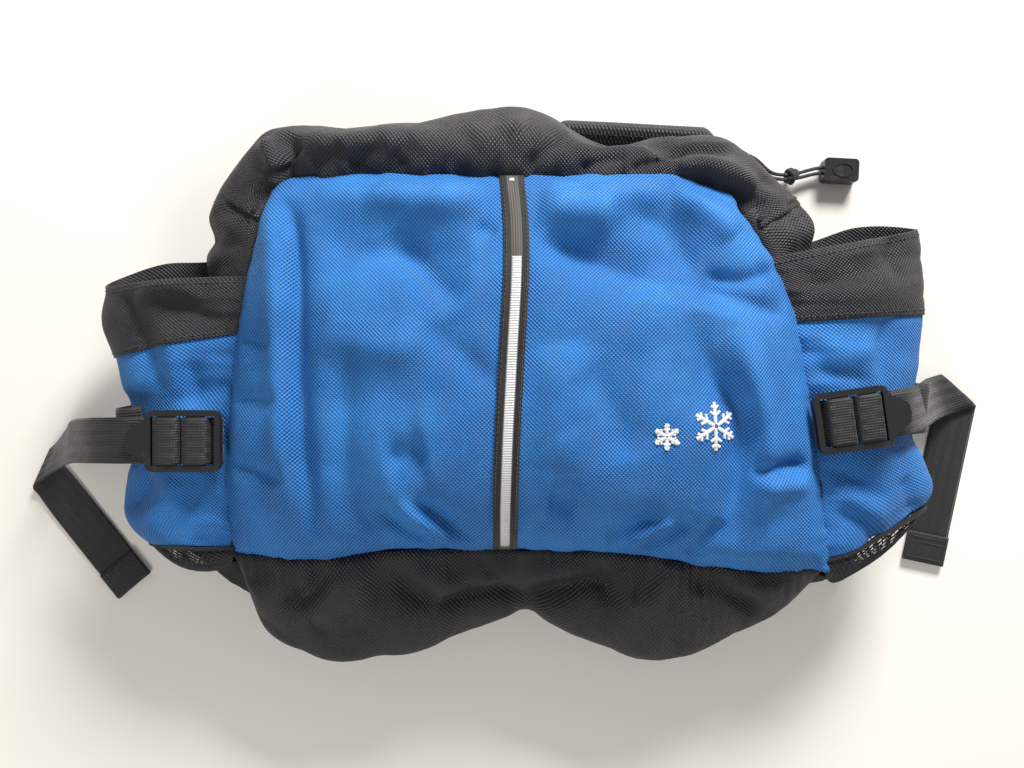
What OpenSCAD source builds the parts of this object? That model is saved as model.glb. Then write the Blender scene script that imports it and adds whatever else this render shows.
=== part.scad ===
// Lumbar pack for skiing and hiking, lying on its back.
// X runs across the pack, Y towards its zipped mouth, Z out of its front panel.
// The origin is the middle of the lumbar pad's face, which lies on the table.

/* [Main compartment] */
// Height of the front panel's edge above the table
rim_z = 72; // [70:1:74]
// Height of the front panel's crown above the table
crown_z = 103; // [98:1:106]
// Thickness of a fabric wall with its lining
wall = 2; // [1.6:0.1:2.2]
// How far the bottom gusset stands out below the front panel
bottom_sag = 54; // [48:1:56]

/* [Back and belt] */
// Thickness of a folded belt wing
wing_t = 14; // [12:1:14]
// Thickness of the lumbar pad
lumbar_t = 7; // [6:0.5:7.5]

/* [Zip] */
// Distance that the slider travels
zip_travel = 235; // [220:1:236]
// Width of one zip tape outside its coil
tape_w = 5; // [4:0.5:5]

/* [Side pockets] */
// Share of a pocket's height that the black band round its mouth takes
band_share = 0.24; // [0.2:0.01:0.28]

/* [Webbing] */
// Width of the compression straps
strap_w = 25; // [24:0.5:26]
// Thickness of the webbing
strap_t = 1.6; // [1.4:0.1:1.8]
// Width of the waist belt's webbing
belt_w = 38; // [36:1:38]

/* [Hidden] */

// Brings the middle of the whole part over the origin.
centring = [8, 0, 0];

round_fn = 48;
gap = 0.3;
fold_z = wing_t + 1;
lumbar_z = fold_z + 1;
back_z = 30;
seam_drop = 4.5;

// ---------------------------------------------------------------- curves and sheets

function unit(v) = v / norm(v);
function mix(a, b, t) = a + (b - a) * t;
function ease(t) = let (c = min(max(t, 0), 1)) c * c * (3 - 2 * c);

// A smooth curve through the points of a path, at t from 0 to 1.
function spline(p0, p1, p2, p3, t) =
    0.5 * (2 * p1 + (p2 - p0) * t + (2 * p0 - 5 * p1 + 4 * p2 - p3) * t * t
    + (3 * p1 - p0 - 3 * p2 + p3) * t * t * t);
function along(path, t) =
    let (last = len(path) - 1, s = min(max(t, 0), 1) * last, i = min(floor(s), last - 1))
    spline(path[max(i - 1, 0)], path[i], path[i + 1], path[min(i + 2, last)], s - i);
function steps(n, low = 0, high = 1) = [for (i = [0 : n]) mix(low, high, i / n)];

// The normal of a grid of points at row i, column j.
function grid_normal(g, i, j) =
    let (
        down = g[min(i + 1, len(g) - 1)][j] - g[max(i - 1, 0)][j],
        over = g[i][min(j + 1, len(g[0]) - 1)] - g[i][max(j - 1, 0)]
    )
    unit(cross(over, down));
function offset_grid(g, depth) =
    [for (i = [0 : len(g) - 1]) [for (j = [0 : len(g[0]) - 1]) g[i][j] + depth * grid_normal(g, i, j)]];

// A closed solid between two grids that have the same rows and columns.
module between(outer, inner) {
    rows = len(outer);
    cols = len(outer[0]);
    count = rows * cols;
    function at(i, j, k) = k * count + i * cols + j;
    function quad(a, b, c, d) = [[a, b, c], [a, c, d]];
    skins = [for (i = [0 : rows - 2], j = [0 : cols - 2]) each concat(
        quad(at(i, j, 0), at(i, j + 1, 0), at(i + 1, j + 1, 0), at(i + 1, j, 0)),
        quad(at(i, j, 1), at(i + 1, j, 1), at(i + 1, j + 1, 1), at(i, j + 1, 1))
    )];
    ends = [for (j = [0 : cols - 2]) each concat(
        quad(at(0, j, 0), at(0, j, 1), at(0, j + 1, 1), at(0, j + 1, 0)),
        quad(at(rows - 1, j, 0), at(rows - 1, j + 1, 0), at(rows - 1, j + 1, 1), at(rows - 1, j, 1))
    )];
    sides = [for (i = [0 : rows - 2]) each concat(
        quad(at(i, 0, 0), at(i + 1, 0, 0), at(i + 1, 0, 1), at(i, 0, 1)),
        quad(at(i, cols - 1, 0), at(i, cols - 1, 1), at(i + 1, cols - 1, 1), at(i + 1, cols - 1, 0))
    )];
    points = concat([for (r = outer) each r], [for (r = inner) each r]);
    polyhedron(points, concat(skins, ends, sides), convexity = 6);
}
module sheet(grid, depth) {
    if (depth > 0) between(grid, offset_grid(grid, depth));
    else between(offset_grid(grid, depth), grid);
}

// A flat band along a path: each stop is [centre, direction across the band].
function band_grid(stops, w) = [for (s = stops) [s[0] - unit(s[1]) * w / 2, s[0] + unit(s[1]) * w / 2]];
module band(stops, w, t) {
    middle = band_grid(stops, w);
    between(offset_grid(middle, -t / 2), offset_grid(middle, t / 2));
}
// The stops at n places along hand-set stops.
function smooth_stops(stops, n) =
    let (centres = [for (s = stops) s[0]], across = [for (s = stops) s[1]])
    [for (t = steps(n)) [along(centres, t), along(across, t)]];

// A tube of 8 sides along a path.
module tube(path, r) {
    last = len(path) - 1;
    rings = [for (i = [0 : last])
        let (
            d = unit(path[min(i + 1, last)] - path[max(i - 1, 0)]),
            a = unit(cross(d, [0, 0.1, 1])),
            b = cross(d, a)
        )
        [for (k = [0 : 7]) path[i] + r * (a * cos(45 * k) + b * sin(45 * k))]];
    walls = [for (i = [0 : last - 1], k = [0 : 7])
        let (n = (k + 1) % 8) each [[i * 8 + k, i * 8 + 8 + n, i * 8 + n], [i * 8 + k, i * 8 + 8 + k, i * 8 + 8 + n]]];
    caps = [[for (k = [0 : 7]) k], [for (k = [7 : -1 : 0]) last * 8 + k]];
    polyhedron([for (r = rings) each r], concat(walls, caps), convexity = 6);
}

// ---------------------------------------------------------------- outlines

// The front panel's edge. Heights are offsets from rim_z.
top_edge = [[-130, 106, 3], [-116, 111, 8], [-60, 112, 10], [0, 112, 10], [60, 112, 10], [96, 110, 8], [118, 102, 4]];
right_edge = [[174, -101, -4], [171, -69, -2], [166, -31, 0], [160, 8, 0], [152, 46, 1], [138, 73, 2], [118, 102, 4]];
left_edge = [[-154, -93, -4], [-156, -63, -2], [-155, -31, 0], [-151, 19, 0], [-146, 51, 1], [-139, 79, 2], [-130, 106, 3]];
bottom_edge = [[-154, -93, -4], [-112, -96, -3], [-58, -91, -2], [1, -91, -2], [62, -93, -2], [122, -102, -3],
    [174, -101, -4]];
function lift(p) = p + [0, 0, rim_z];

// The back panel's edge, to which the gussets are sewn.
back_top = [[-124, 112, 0], [-60, 115, 0], [0, 115, 0], [60, 113, 0], [122, 106, 0]];
back_right = [[152, -108, 0], [165, -62, 0], [166, 0, 0], [157, 58, 0], [122, 106, 0]];
back_left = [[-148, -108, 0], [-164, -62, 0], [-165, 0, 0], [-158, 60, 0], [-124, 112, 0]];
back_bottom = [[-148, -108, 0], [-80, -114, 0], [0, -112, 0], [80, -114, 0], [152, -108, 0]];
function raise(p) = p + [0, 0, back_z + gap];

// The front panel's surface: a patch stretched between its four edges, with a crown.
function crown(u, v) = (1 - pow(abs(2 * u - 1), 3)) * (1 - pow(abs(2 * v - 1), 3));
function panel_point(u, v) =
    mix(lift(along(bottom_edge, u)), lift(along(top_edge, u)), v)
    + mix(lift(along(left_edge, v)), lift(along(right_edge, v)), u)
    - mix(mix(lift(bottom_edge[0]), lift(bottom_edge[6]), u), mix(lift(top_edge[0]), lift(top_edge[6]), u), v)
    + [0, 0, (crown_z - rim_z) * crown(u, v)];
function panel_grid(nu, nv, u0 = 0, u1 = 1, v0 = 0, v1 = 1) =
    [for (v = steps(nv, v0, v1)) [for (u = steps(nu, u0, u1)) panel_point(u, v)]];

// A gusset's surface between an edge of the front panel and the back panel's edge, standing out by a bulge.
function side_out(p) = unit([p.x, 0.9 * max(p.y, 0), 0]);
function gusset_point(front, back, out, bulge, t) =
    let (a = front - [0, 0, seam_drop]) mix(a, back, t) + out * bulge * pow(sin(180 * t), 0.8);

// ---------------------------------------------------------------- fabric body

module front_panel() color("dodgerblue") sheet(panel_grid(26, 20), -wall);

strip_w = 13;
line_w = 5;
function strip_grid(w, height, v0 = 0.01, v1 = 0.99) =
    [for (v = steps(28, v0, v1)) [for (s = [-0.5, 0.5]) panel_point(mix(0.486, 0.5, v), v) + [s * w, 0, height]]];
module centre_tape() color("black") between(strip_grid(strip_w, 0.2), strip_grid(strip_w, 1.2));
module reflective_line() color("white") between(strip_grid(line_w, 1.3, 0.01, 0.72), strip_grid(line_w, 1.7, 0.01, 0.72));

// A generic embroidered six-armed snow crystal.
badge_u = 0.83;
badge_v = 0.35;
badge_r = 13;
module front_badge() color("white")
    let (p = panel_point(badge_u, badge_v), n = -grid_normal(panel_grid(2, 2, badge_u - 0.04, badge_u + 0.04, badge_v - 0.04, badge_v + 0.04), 1, 1))
    translate(p + 1.6 * [0, 0, 1]) rotate([-asin(n.y) * sign(n.z), asin(n.x) * sign(n.z), 0]) linear_extrude(1)
        union() {
            circle(r = 3, $fn = 24);
            for (a = [0 : 60 : 300]) rotate(a) translate([0, -1]) square([badge_r, 2]);
        }

bottom_n = 34;
// Places along the bottom seam, each with how far the gusset stands out there as a share of bottom_sag.
bottom_profile = [[0.004, 0.1], [0.05, 0.6], [0.115, 0.84], [0.2, 0.96], [0.31, 0.92], [0.41, 0.75], [0.485, 0.55],
    [0.52, 0.47], [0.56, 0.6], [0.63, 0.81], [0.71, 0.94], [0.77, 0.92], [0.84, 0.72], [0.92, 0.51], [0.97, 0.31],
    [0.996, 0.1]];
module bottom_gusset() color([0.1, 0.1, 0.1])
    sheet([for (s = steps(bottom_n)) let (p = along(bottom_profile, s)) [for (t = steps(9))
        gusset_point(lift(along(bottom_edge, p.x)), raise(along(back_bottom, p.x)), [0, -1, 0], bottom_sag * p.y, t)
    ]], -wall);

side_top = 0.93;
function side_bulge(v) = mix(12, 30, ease((v - 0.55) / 0.35));
function side_grid(front, back) = [for (v = steps(16, 0.02, side_top)) [for (t = steps(8))
    let (a = lift(along(front, v)), b = raise(along(back, v))) gusset_point(a, b, side_out(a + b), side_bulge(v), t)]];
module side_gusset_left() color([0.1, 0.1, 0.1]) sheet(side_grid(left_edge, back_left), wall);
module side_gusset_right() color([0.1, 0.1, 0.1]) sheet(side_grid(right_edge, back_right), -wall);

// The piping stands this far off the gusset's grid.
piping_out = 2.4;
function piping_path(front, back) =
    let (v = side_top - 0.03, a = lift(along(front, v)), b = raise(along(back, v)))
    [for (t = steps(10, 0.1, 0.9)) gusset_point(a, b, side_out(a + b), side_bulge(v), t) + piping_out * side_out(a + b)];
module piping_left() color([0.15, 0.15, 0.15]) tube(piping_path(left_edge, back_left), 1.1);
module piping_right() color([0.15, 0.15, 0.15]) tube(piping_path(right_edge, back_right), 1.1);

module outline(points, n = 6) {
    closed = concat(points, [points[0]]);
    polygon([for (i = [0 : len(points) - 1]) for (k = [0 : n - 1])
        let (m = len(points))
        spline(points[(i + m - 1) % m], points[i], points[(i + 1) % m], points[(i + 2) % m], k / n)]);
}
module back_panel() color([0.12, 0.12, 0.13]) translate([0, 0, lumbar_z + lumbar_t + gap])
    linear_extrude(back_z - lumbar_z - lumbar_t - gap)
    outline([[-148, -108], [-163, -62], [-164, 0], [-157, 60], [-124, 110], [-60, 113], [0, 113], [60, 111], [121, 104],
        [156, 58], [165, 0], [164, -62], [151, -108], [80, -112], [0, -110], [-80, -112]], 4);
module lumbar_pad() color([0.16, 0.16, 0.17]) translate([0, 0, lumbar_z]) linear_extrude(lumbar_t)
    outline([[-138, -98], [-150, -60], [-150, 0], [-142, 50], [-115, 92], [-60, 96], [0, 97], [60, 96], [112, 88],
        [142, 50], [151, 0], [150, -60], [140, -98], [70, -102], [0, -100], [-70, -102]], 4);

// ---------------------------------------------------------------- mouth and zip

// The zip lies in an upright plane that is turned a little from X. Its rear half is sewn to the back.
zip_turn = -3;
zip_mid = [12, 131];
zip_low = back_z + 0.6;
coil_w = 3;
coil_t = 3;
zip_z = zip_low + tape_w + coil_w;
lip_left = -118;
lip_right = 80;
zip_right = 130;
slider_rest = 122;
module in_zip() translate([zip_mid.x, zip_mid.y, 0]) rotate(zip_turn) translate([-zip_mid.x, 0, 0]) children();
function zip_point(x, z) =
    [zip_mid.x + (x - zip_mid.x) * cos(zip_turn), zip_mid.y + (x - zip_mid.x) * sin(zip_turn), z];
lip_base = zip_z + coil_w + tape_w + gap;

// The ridge of black cloth between the front panel and the zip: its cross-section at x.
function ridge_y(x) = 142 + 13 * exp(-pow((x + 6) / 36, 2)) - 5 * ease((x - 30) / 60);
hinge_y = 112;
hinge_z = rim_z + 10;
function ridge_path(x) =
    let (foot = zip_point(x, lip_base), y = ridge_y(x), front = [x, hinge_y + 2, hinge_z - 1])
    [front, [x, 126, hinge_z - 2], [x, y - 5, hinge_z - 11], [x, y, hinge_z - 21],
        [x, y - 7, foot.z + 6], [foot.x, foot.y + 4, foot.z + 1], foot];
module mouth_lip() color([0.1, 0.1, 0.1])
    sheet([for (x = steps(16, lip_left, lip_right)) [for (t = steps(16)) along(ridge_path(x), t)]], wall);

// The two ends of the ridge, which stay closed, each stretched between a front seam and a row of feet.
module corner(fronts, feet, bulges, n) color([0.1, 0.1, 0.1])
    sheet([for (s = steps(n))
        let (
            a = along(fronts, s), b = along(feet, s), k = along(bulges, s),
            out = unit([a.x * 0.5, 1.4 * a.y, 0]), m = mix(a, b, 0.5)
        )
        [for (t = steps(10)) along([a, [m.x, m.y, a.z - 9] + out * k, [m.x, m.y, b.z + 12] + out * k, b], t)]], wall);
module top_corner_right() corner(
    [[81.5, 113.5, 81], [100, 111.5, 78], [119, 105, 74.5], [128, 94, 71.5]],
    [zip_point(81.5, lip_base), zip_point(107, lip_base + 0.5), zip_point(136.5, lip_base + 0.5), [156, 101, 32]],
    [20, 17, 15, 20], 10);
module top_corner_left() corner(
    [[-138, 95, 71], [-134, 105, 73], [-127, 110.5, 76], [-119.5, 113.5, 79]],
    [[-154, 104, 32], [-146, 122, 36], [-134, 133, 43], zip_point(-119.5, lip_base)],
    [18, 16, 18, 17], 8);

module rear_lip() color([0.1, 0.1, 0.1])
    let (grid = [for (x = steps(10, lip_left, zip_right))
        [[x, along(back_top, (x + 124) / 246).y - 8, back_z + gap], zip_point(x, back_z + gap) - [0, 0.9, 0]]])
    between([for (r = grid) [for (p = r) p + [0, 0, 2]]], grid);

module upright(x0, x1, z0, z1, y0, y1) in_zip() translate([x0, y0, z0]) cube([x1 - x0, y1 - y0, z1 - z0]);
tape_t = 0.8;
part_gap = 3.1;
module tape(x0, x1, z0, w = tape_w) upright(x0, x1, z0, z0 + w, -tape_t / 2, tape_t / 2);
module coil(x0, x1, z0) upright(x0, x1, z0 + 0.05, z0 + coil_w - 0.05, -coil_t / 2, coil_t / 2);
module zip_tape_lip() color([0.08, 0.08, 0.08]) tape(lip_left, lip_right, zip_z + coil_w);
module zip_coil_lip() color([0.15, 0.15, 0.15]) coil(lip_left, lip_right, zip_z);
module zip_tape_rear() color([0.08, 0.08, 0.08]) tape(lip_left, zip_right, zip_low);
module zip_coil_rear() color([0.15, 0.15, 0.15]) coil(lip_left, zip_right, zip_z - coil_w);
// Beyond the lip the slider's post keeps the two coils apart.
module zip_tape_closed_end() color([0.08, 0.08, 0.08])
    tape(lip_right + 1.5, zip_right, zip_z + coil_w + part_gap, tape_w - part_gap);
module zip_coil_closed_end() color([0.15, 0.15, 0.15]) coil(lip_right + 1.5, zip_right, zip_z + part_gap);
module zip_stop_closed() color("gray")
    upright(zip_right + 0.2, zip_right + 3.2, zip_z - coil_w, zip_z + coil_w + part_gap, -2, 2);
module zip_stop_open() color("gray")
    upright(lip_left - 4, lip_left - 1, zip_z - coil_w, zip_z + coil_w, -2, 2);

// The slider: two plates joined by a post, with a crown that holds the pull tab's pin.
plate_l = 12;
plate_h = 10.4;
plate_t = 1.2;
plate_y = coil_t / 2 + 0.4;
crown_out = 5;
pin_y = plate_y + plate_t + 2.1;
module slider_body() color([0.15, 0.15, 0.16]) in_zip() translate([slider_rest, 0, zip_z]) difference() {
    union() {
        for (y = [plate_y, -plate_y - plate_t])
            translate([-plate_l / 2, y, -plate_h / 2]) cube([plate_l, plate_t, plate_h]);
        translate([plate_l / 2 - 2.4, -plate_y - plate_t, 0.3]) cube([2.2, 2 * (plate_y + plate_t), 2.5]);
        translate([-4, plate_y, -1.5]) cube([8, plate_t + crown_out, 3]);
    }
    translate([-2.2, plate_y + plate_t, -3]) cube([4.4, crown_out - 1.2, 6]);
}
module pull_tab() color([0.25, 0.25, 0.27]) in_zip() translate([slider_rest, pin_y, zip_z]) difference() {
    union() {
        cylinder(r = 0.9, h = 6.4, center = true, $fn = round_fn);
        for (z = [1.9, -3.2]) {
            translate([0, 0, z]) cylinder(r = 1.2, h = 1.3, $fn = round_fn);
            translate([0, -0.7, z]) cube([8, 1.4, 1.3]);
        }
        translate([5.6, -0.7, -3.2]) cube([10.4, 1.4, 6.4]);
    }
    translate([11.5, 0, 0]) rotate([90, 0, 0]) cylinder(r = 1.7, h = 6, center = true, $fn = round_fn);
}

// The pull: a cord doubled through the tab, its knot and a moulded grip that lies on the table.
cord_r = 1.1;
strand_out = [[134.2, 7.3, 38.4], [138, 7.4, 36.6], [144, 6.6, 30], [151, 5, 20], [158, 3.9, 12], [167, 4.4, 8],
    [175, 6.4, 6.2], [184, 9.4, 5.4], [190, 10.5, 5.2], [198, 10.6, 5.2]];
strand_in = [[134.2, 3, 38.4], [138, 3.2, 36.4], [144, 3.1, 29.6], [151, 2.4, 19.8], [158, 1.2, 11.8], [167, 1.6, 8],
    [175, 3.4, 6.2], [184, 6.2, 5.4], [190, 7.3, 5.2], [198, 7.4, 5.2]];
loop_top = [[133.5, 6.3, 38.6], [133.4, 5.2, 38.6], [133.5, 4.1, 38.6]];
function thin_out(path, n) = [for (t = steps(n)) along(path, t)];
cord_path = concat([for (i = [9 : -1 : 0]) strand_out[i]], loop_top, strand_in);
module pull_cord() color([0.12, 0.12, 0.12]) in_zip() tube(thin_out(cord_path, 60), cord_r);
module pull_knot() color([0.12, 0.12, 0.12]) in_zip() difference() {
    translate([170, 3.8, 7.2]) sphere(r = 5.6, $fn = 32);
    tube(thin_out(cord_path, 60), cord_r + 0.12);
}
grip = [21, 14, 9];
module pull_grip() color([0.2, 0.2, 0.22]) in_zip() translate([189.5, 9 - grip.y / 2, 0.6]) difference() {
    translate([grip.x / 2, grip.y / 2, 0]) {
        linear_extrude(grip.z) offset(r = 2.4, $fn = round_fn) square([grip.x - 4.8, grip.y - 4.8], center = true);
        translate([1, 0, grip.z - 0.5]) linear_extrude(1) scale([1.5, 1]) difference() {
            circle(r = 4.4, $fn = round_fn);
            circle(r = 3.5, $fn = round_fn);
        }
    }
    for (y = [1.6, -1.6]) translate([-1, grip.y / 2 + y, 4.7]) rotate([0, 90, 0]) cylinder(r = 1.35, h = 10.6, $fn = round_fn);
}

// ---------------------------------------------------------------- side pockets

// Each pocket's widest line, from its bottom to its mouth, and its seam at the back.
out_left = [[-203, -90, 50], [-219, -73, 50], [-215, -42, 50], [-217, -11, 50], [-225, 18, 50], [-230, 48, 50]];
out_right = [[205, -92, 50], [236, -65, 50], [227, -30, 50], [230, 7, 50], [231, 44, 50], [227, 80, 50]];
seam_left = [[-160, -98, 31.5], [-171, -62, 31.5], [-174, -30, 31.5], [-174, 0, 31.5], [-172, 30, 31.5], [-169, 60, 31.5]];
seam_right = [[162, -99, 31.5], [172, -62, 31.5], [175, -30, 31.5], [175, 5, 31.5], [171, 38, 31.5], [165, 68, 31.5]];
mouth_slant = 12;
function pocket_point(edge, top, out, seam, v, s) =
    let (
        side = sign(out[0].x),
        front = lift(along(edge, mix(0.03, top, v))) + [side * 1.2, 0, -1.5],
        o = along(out, v),
        b = along(seam, v)
    )
    along([front, [mix(front.x, o.x, 0.55), mix(front.y, o.y, 0.5), front.z + 1], o,
        [mix(o.x, b.x, 0.5), mix(o.y, b.y, 0.5), 34], b], s) + [0, mouth_slant * s * v, 0];
function left_pocket(v, s) = pocket_point(left_edge, 0.71, out_left, seam_left, v, s);
function right_pocket(v, s) = pocket_point(right_edge, 0.8, out_right, seam_right, v, s);
function left_grid(v0, v1, nv, s0 = 0, s1 = 1, ns = 16) =
    [for (v = steps(nv, v0, v1)) [for (s = steps(ns, s0, s1)) left_pocket(v, s)]];
function right_grid(v0, v1, nv, s0 = 0, s1 = 1, ns = 16) =
    [for (v = steps(nv, v0, v1)) [for (s = steps(ns, s0, s1)) right_pocket(v, s)]];
pocket_t = 1.4;
band_v = 1 - band_share;
module pocket_wall_left() color("dodgerblue") sheet(left_grid(0, band_v - 0.003, 14), pocket_t);
module pocket_wall_right() color("dodgerblue") sheet(right_grid(0, band_v - 0.003, 14), -pocket_t);
module pocket_band_left() color([0.1, 0.1, 0.1]) sheet(left_grid(band_v, 1, 5), pocket_t + 0.6);
module pocket_band_right() color([0.1, 0.1, 0.1]) sheet(right_grid(band_v, 1, 5), -pocket_t - 0.6);

// The mesh gusset that closes a pocket's bottom: it bags below the wall's edge.
function mesh_grid(rim, a, b, bag) = [for (r = steps(5)) [for (s = steps(14, 0.05, 0.95))
    let (p = along(rim, s) - [0, 1.2, 0], q = mix(a, b, s))
    mix(p, q, r) - [0, bag * sin(90 * (1 - pow(1 - r, 2))) * sin(180 * (0.12 + 0.76 * s)) * (1 - pow(r, 3)), 0]]];
function rim_of(side) = [for (s = steps(12)) side < 0 ? left_pocket(0, s) : right_pocket(0, s)];
module pocket_mesh_left() color([0.2, 0.2, 0.2])
    sheet(mesh_grid(rim_of(-1), [-156, -98, 66], [-160, -103, 33], 12), -1);
module pocket_mesh_right() color([0.2, 0.2, 0.2])
    sheet(mesh_grid(rim_of(1), [176, -106, 66], [164, -108, 33], 14), 1);

// ---------------------------------------------------------------- compression straps

// A ladder lock lies flat. Its anchor web holds the bar nearer the panel, and its lifting tab is at the outer end.
lock_w = strap_w + 8;
end_bar = 3;
module at_left() translate([-156, -30.5, 79]) mirror([1, 0, 0]) children();
module at_right() translate([162.5, -22, 80]) rotate(8) children();
module ladderlock() color([0.1, 0.1, 0.11]) {
    difference() {
        translate([0, 0, -2]) linear_extrude(4) union() {
            translate([20, 0]) offset(r = 4, $fn = round_fn) square([40 - 8, lock_w - 8], center = true);
            polygon([[39.8, -lock_w / 2 + 5], [46, -8], [50, -5], [51, 0], [50, 5], [46, 8], [39.8, lock_w / 2 - 5]]);
        }
        translate([end_bar, -strap_w / 2 - 0.8, -3]) cube([37.2 - end_bar, strap_w + 1.6, 6]);
    }
    for (u = [8.6, 24]) translate([u, -strap_w / 2 - 1.2, -1.4]) cube([10, strap_w + 2.4, 2.8]);
}
module ladderlock_left() at_left() ladderlock();
module ladderlock_right() at_right() ladderlock();

// Webbing along a path in u and height, as wide as the strap.
function web_stops(path) = [for (p = path) [[p[0], 0, p[1]], [0, 1, 0]]];
module web(path, n, w = strap_w, t = strap_t) band(smooth_stops(web_stops(path), n), w, t);
// The anchor web: under the end bar and round the first bar.
anchor_path = [[-0.4, -3.3], [3, -3.2], [6, -1.7], [6.9, 0.8], [8.8, 2.4], [13.6, 2.6], [18.2, 2.4], [20, 0.9], [20, -1.2],
    [18, -2.9], [13, -3.1]];
module anchor_loop() color([0.12, 0.12, 0.12]) web(anchor_path, 26, strap_w, 1.4);
module buckle_anchor_left() at_left() anchor_loop();
module buckle_anchor_right() at_right() anchor_loop();

// The strap: up between the bars, over the second one, and out under the tab.
wrap_path = [[32, -5.7], [27, -5.6], [24, -5], [22.6, -3], [22.6, -0.5], [22.9, 1.5], [25, 2.7], [29, 2.9], [33, 2.6],
    [35.2, 1.4], [35.6, 0], [35.7, -1.8], [37, -3.5], [40, -4], [42, -4]];
module strap_wrap_left() color([0.12, 0.12, 0.12]) at_left() web(wrap_path, 44);
module strap_wrap_right() color([0.12, 0.12, 0.12]) at_right() web(wrap_path, 44);

module strap_run_left() color([0.12, 0.12, 0.12])
    sheet(offset_grid(left_grid(0.40, 0.565, 2, 0.37, 0.97, 20), -0.4), -strap_t);
module strap_run_right() color([0.12, 0.12, 0.12])
    sheet(offset_grid(right_grid(0.40, 0.55, 2, 0.42, 0.97, 20), 0.4), strap_t);

tail_left = [[[-199, -30.5, 75.2], [0, 1, 0]], [[-214, -30.5, 75], [0, 1, 0]], [[-232, -31, 66], [0, 1, 0]],
    [[-252, -33, 44], [0.05, 1, 0]], [[-267, -38, 20], [0.18, 0.97, 0]], [[-280, -46, 8.5], [0.36, 0.93, 0]],
    [[-287.5, -52, 5], [0.42, 0.91, 0]], [[-284, -58, 2], [0.52, 0.85, 0]], [[-271, -75, 1.3], [0.72, 0.69, 0]],
    [[-252, -99, 1.2], [0.76, 0.65, 0]], [[-232, -124, 1.2], [0.76, 0.65, 0]]];
tail_right = [[[205, -16, 75.6], [-0.14, 0.99, 0]], [[220, -13.9, 74], [-0.14, 0.99, 0]],
    [[237, -11, 57], [-0.14, 0.99, 0]], [[248, -8, 38], [-0.16, 0.98, 0]], [[257, -5, 18], [-0.3, 0.95, 0]],
    [[265, -4, 8], [-0.5, 0.87, 0]], [[269, -6, 5], [-0.6, 0.8, 0]], [[267, -14, 2], [-0.8, 0.6, 0]],
    [[262, -34, 1.3], [-0.97, 0.24, 0]], [[256, -68, 1.2], [-0.98, 0.2, 0]], [[248, -110, 1.2], [-0.98, 0.2, 0]]];
module strap_tail_left() color([0.12, 0.12, 0.12]) band(smooth_stops(tail_left, 60), strap_w, strap_t);
module strap_tail_right() color([0.12, 0.12, 0.12]) band(smooth_stops(tail_right, 60), strap_w, strap_t);
hem_z = 1.2 + strap_t + 0.1;
module strap_hem_left() color([0.12, 0.12, 0.12])
    band([[[-243.3, -109.9, hem_z], [0.76, 0.65, 0]], [[-232, -124, hem_z], [0.76, 0.65, 0]]], strap_w, strap_t);
module strap_hem_right() color([0.12, 0.12, 0.12])
    band([[[251.4, -92.2, hem_z], [-0.98, 0.2, 0]], [[248, -110, hem_z], [-0.98, 0.2, 0]]], strap_w, strap_t);

// ---------------------------------------------------------------- waist belt, folded under the back

fold_left = -208;
fold_right = 216;
module wing_root_left() color([0.12, 0.12, 0.12]) translate([0, 0, fold_z + 1.2]) linear_extrude(11)
    polygon([[fold_left + 1.5, -88], [fold_left + 1.5, 4], [-167, 30], [-167, -84]]);
module wing_root_right() color([0.12, 0.12, 0.12]) translate([0, 0, fold_z + 1.2]) linear_extrude(11)
    polygon([[fold_right - 1.5, -98], [fold_right - 1.5, 0], [168, 28], [168, -86]]);
wing_left = [[-207.6, -90], [-207.6, -40], [-207.6, 4], [-180, 6], [-140, -16], [-98, -50], [-76, -68], [-74, -92], [-76, -116],
    [-104, -134], [-152, -137], [-188, -116]];
wing_right = [[215.6, -100], [215.6, -50], [215.6, 0], [190, 4], [146, -16], [100, -50], [80, -68], [78, -92], [80, -116],
    [110, -128], [158, -132], [200, -122]];
module belt_wing_left() color([0.14, 0.14, 0.15]) linear_extrude(wing_t) outline(wing_left, 4);
module belt_wing_right() color([0.14, 0.14, 0.15]) linear_extrude(wing_t) outline(wing_right, 4);

belt_y = -92;
belt_t = 2;
bar_z = 6.6;
module on_belt(x, flip = 0) translate([x, belt_y, bar_z]) mirror([flip, 0, 0]) children();
// From the wing's end round the buckle's bar and back; u = 0 is the bar.
function belt_path(reach) = concat([[-reach, 3.1], [-6, 3.1]], [for (a = steps(6, 90, -90)) [3 * cos(a), 3.0 * sin(a)]],
    [[-6, -3.1], [-reach + 8, -3.1]]);
module belt_loop(reach) color([0.12, 0.12, 0.12]) web(belt_path(reach), 30, belt_w, belt_t);
module belt_webbing_left() on_belt(-42) belt_loop(31.5);
module belt_webbing_right() on_belt(52, 1) belt_loop(24);
module belt_socket() color([0.1, 0.1, 0.11]) on_belt(-42) {
    rotate([90, 0, 0]) cylinder(r = 1.6, h = belt_w + 8, center = true, $fn = round_fn);
    difference() {
        translate([-1.5, -24, -6]) cube([45, 48, 12]);
        translate([-3, -belt_w / 2 - 1, -7]) cube([8.5, belt_w + 2, 14]);
        translate([14, -20, -3.8]) cube([31, 40, 7.6]);
        for (y = [-25, 18]) translate([19, y, -3.8]) cube([13, 7, 7.6]);
    }
}
module belt_plug() color([0.1, 0.1, 0.11]) on_belt(52, 1) {
    rotate([90, 0, 0]) cylinder(r = 1.6, h = belt_w + 8, center = true, $fn = round_fn);
    difference() {
        translate([-1.5, -24, -5]) cube([21, 48, 10]);
        translate([-3, -belt_w / 2 - 1, -7]) cube([8.5, belt_w + 2, 14]);
    }
    translate([19, -4, -3]) cube([22, 8, 6]);
    for (m = [0, 1]) mirror([0, m, 0]) translate([19, 0, -3]) linear_extrude(6)
        polygon([[0, 12], [16, 13], [16, 10], [24, 12], [24, 17], [13, 20], [11, 16.4], [0, 17]]);
}

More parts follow.
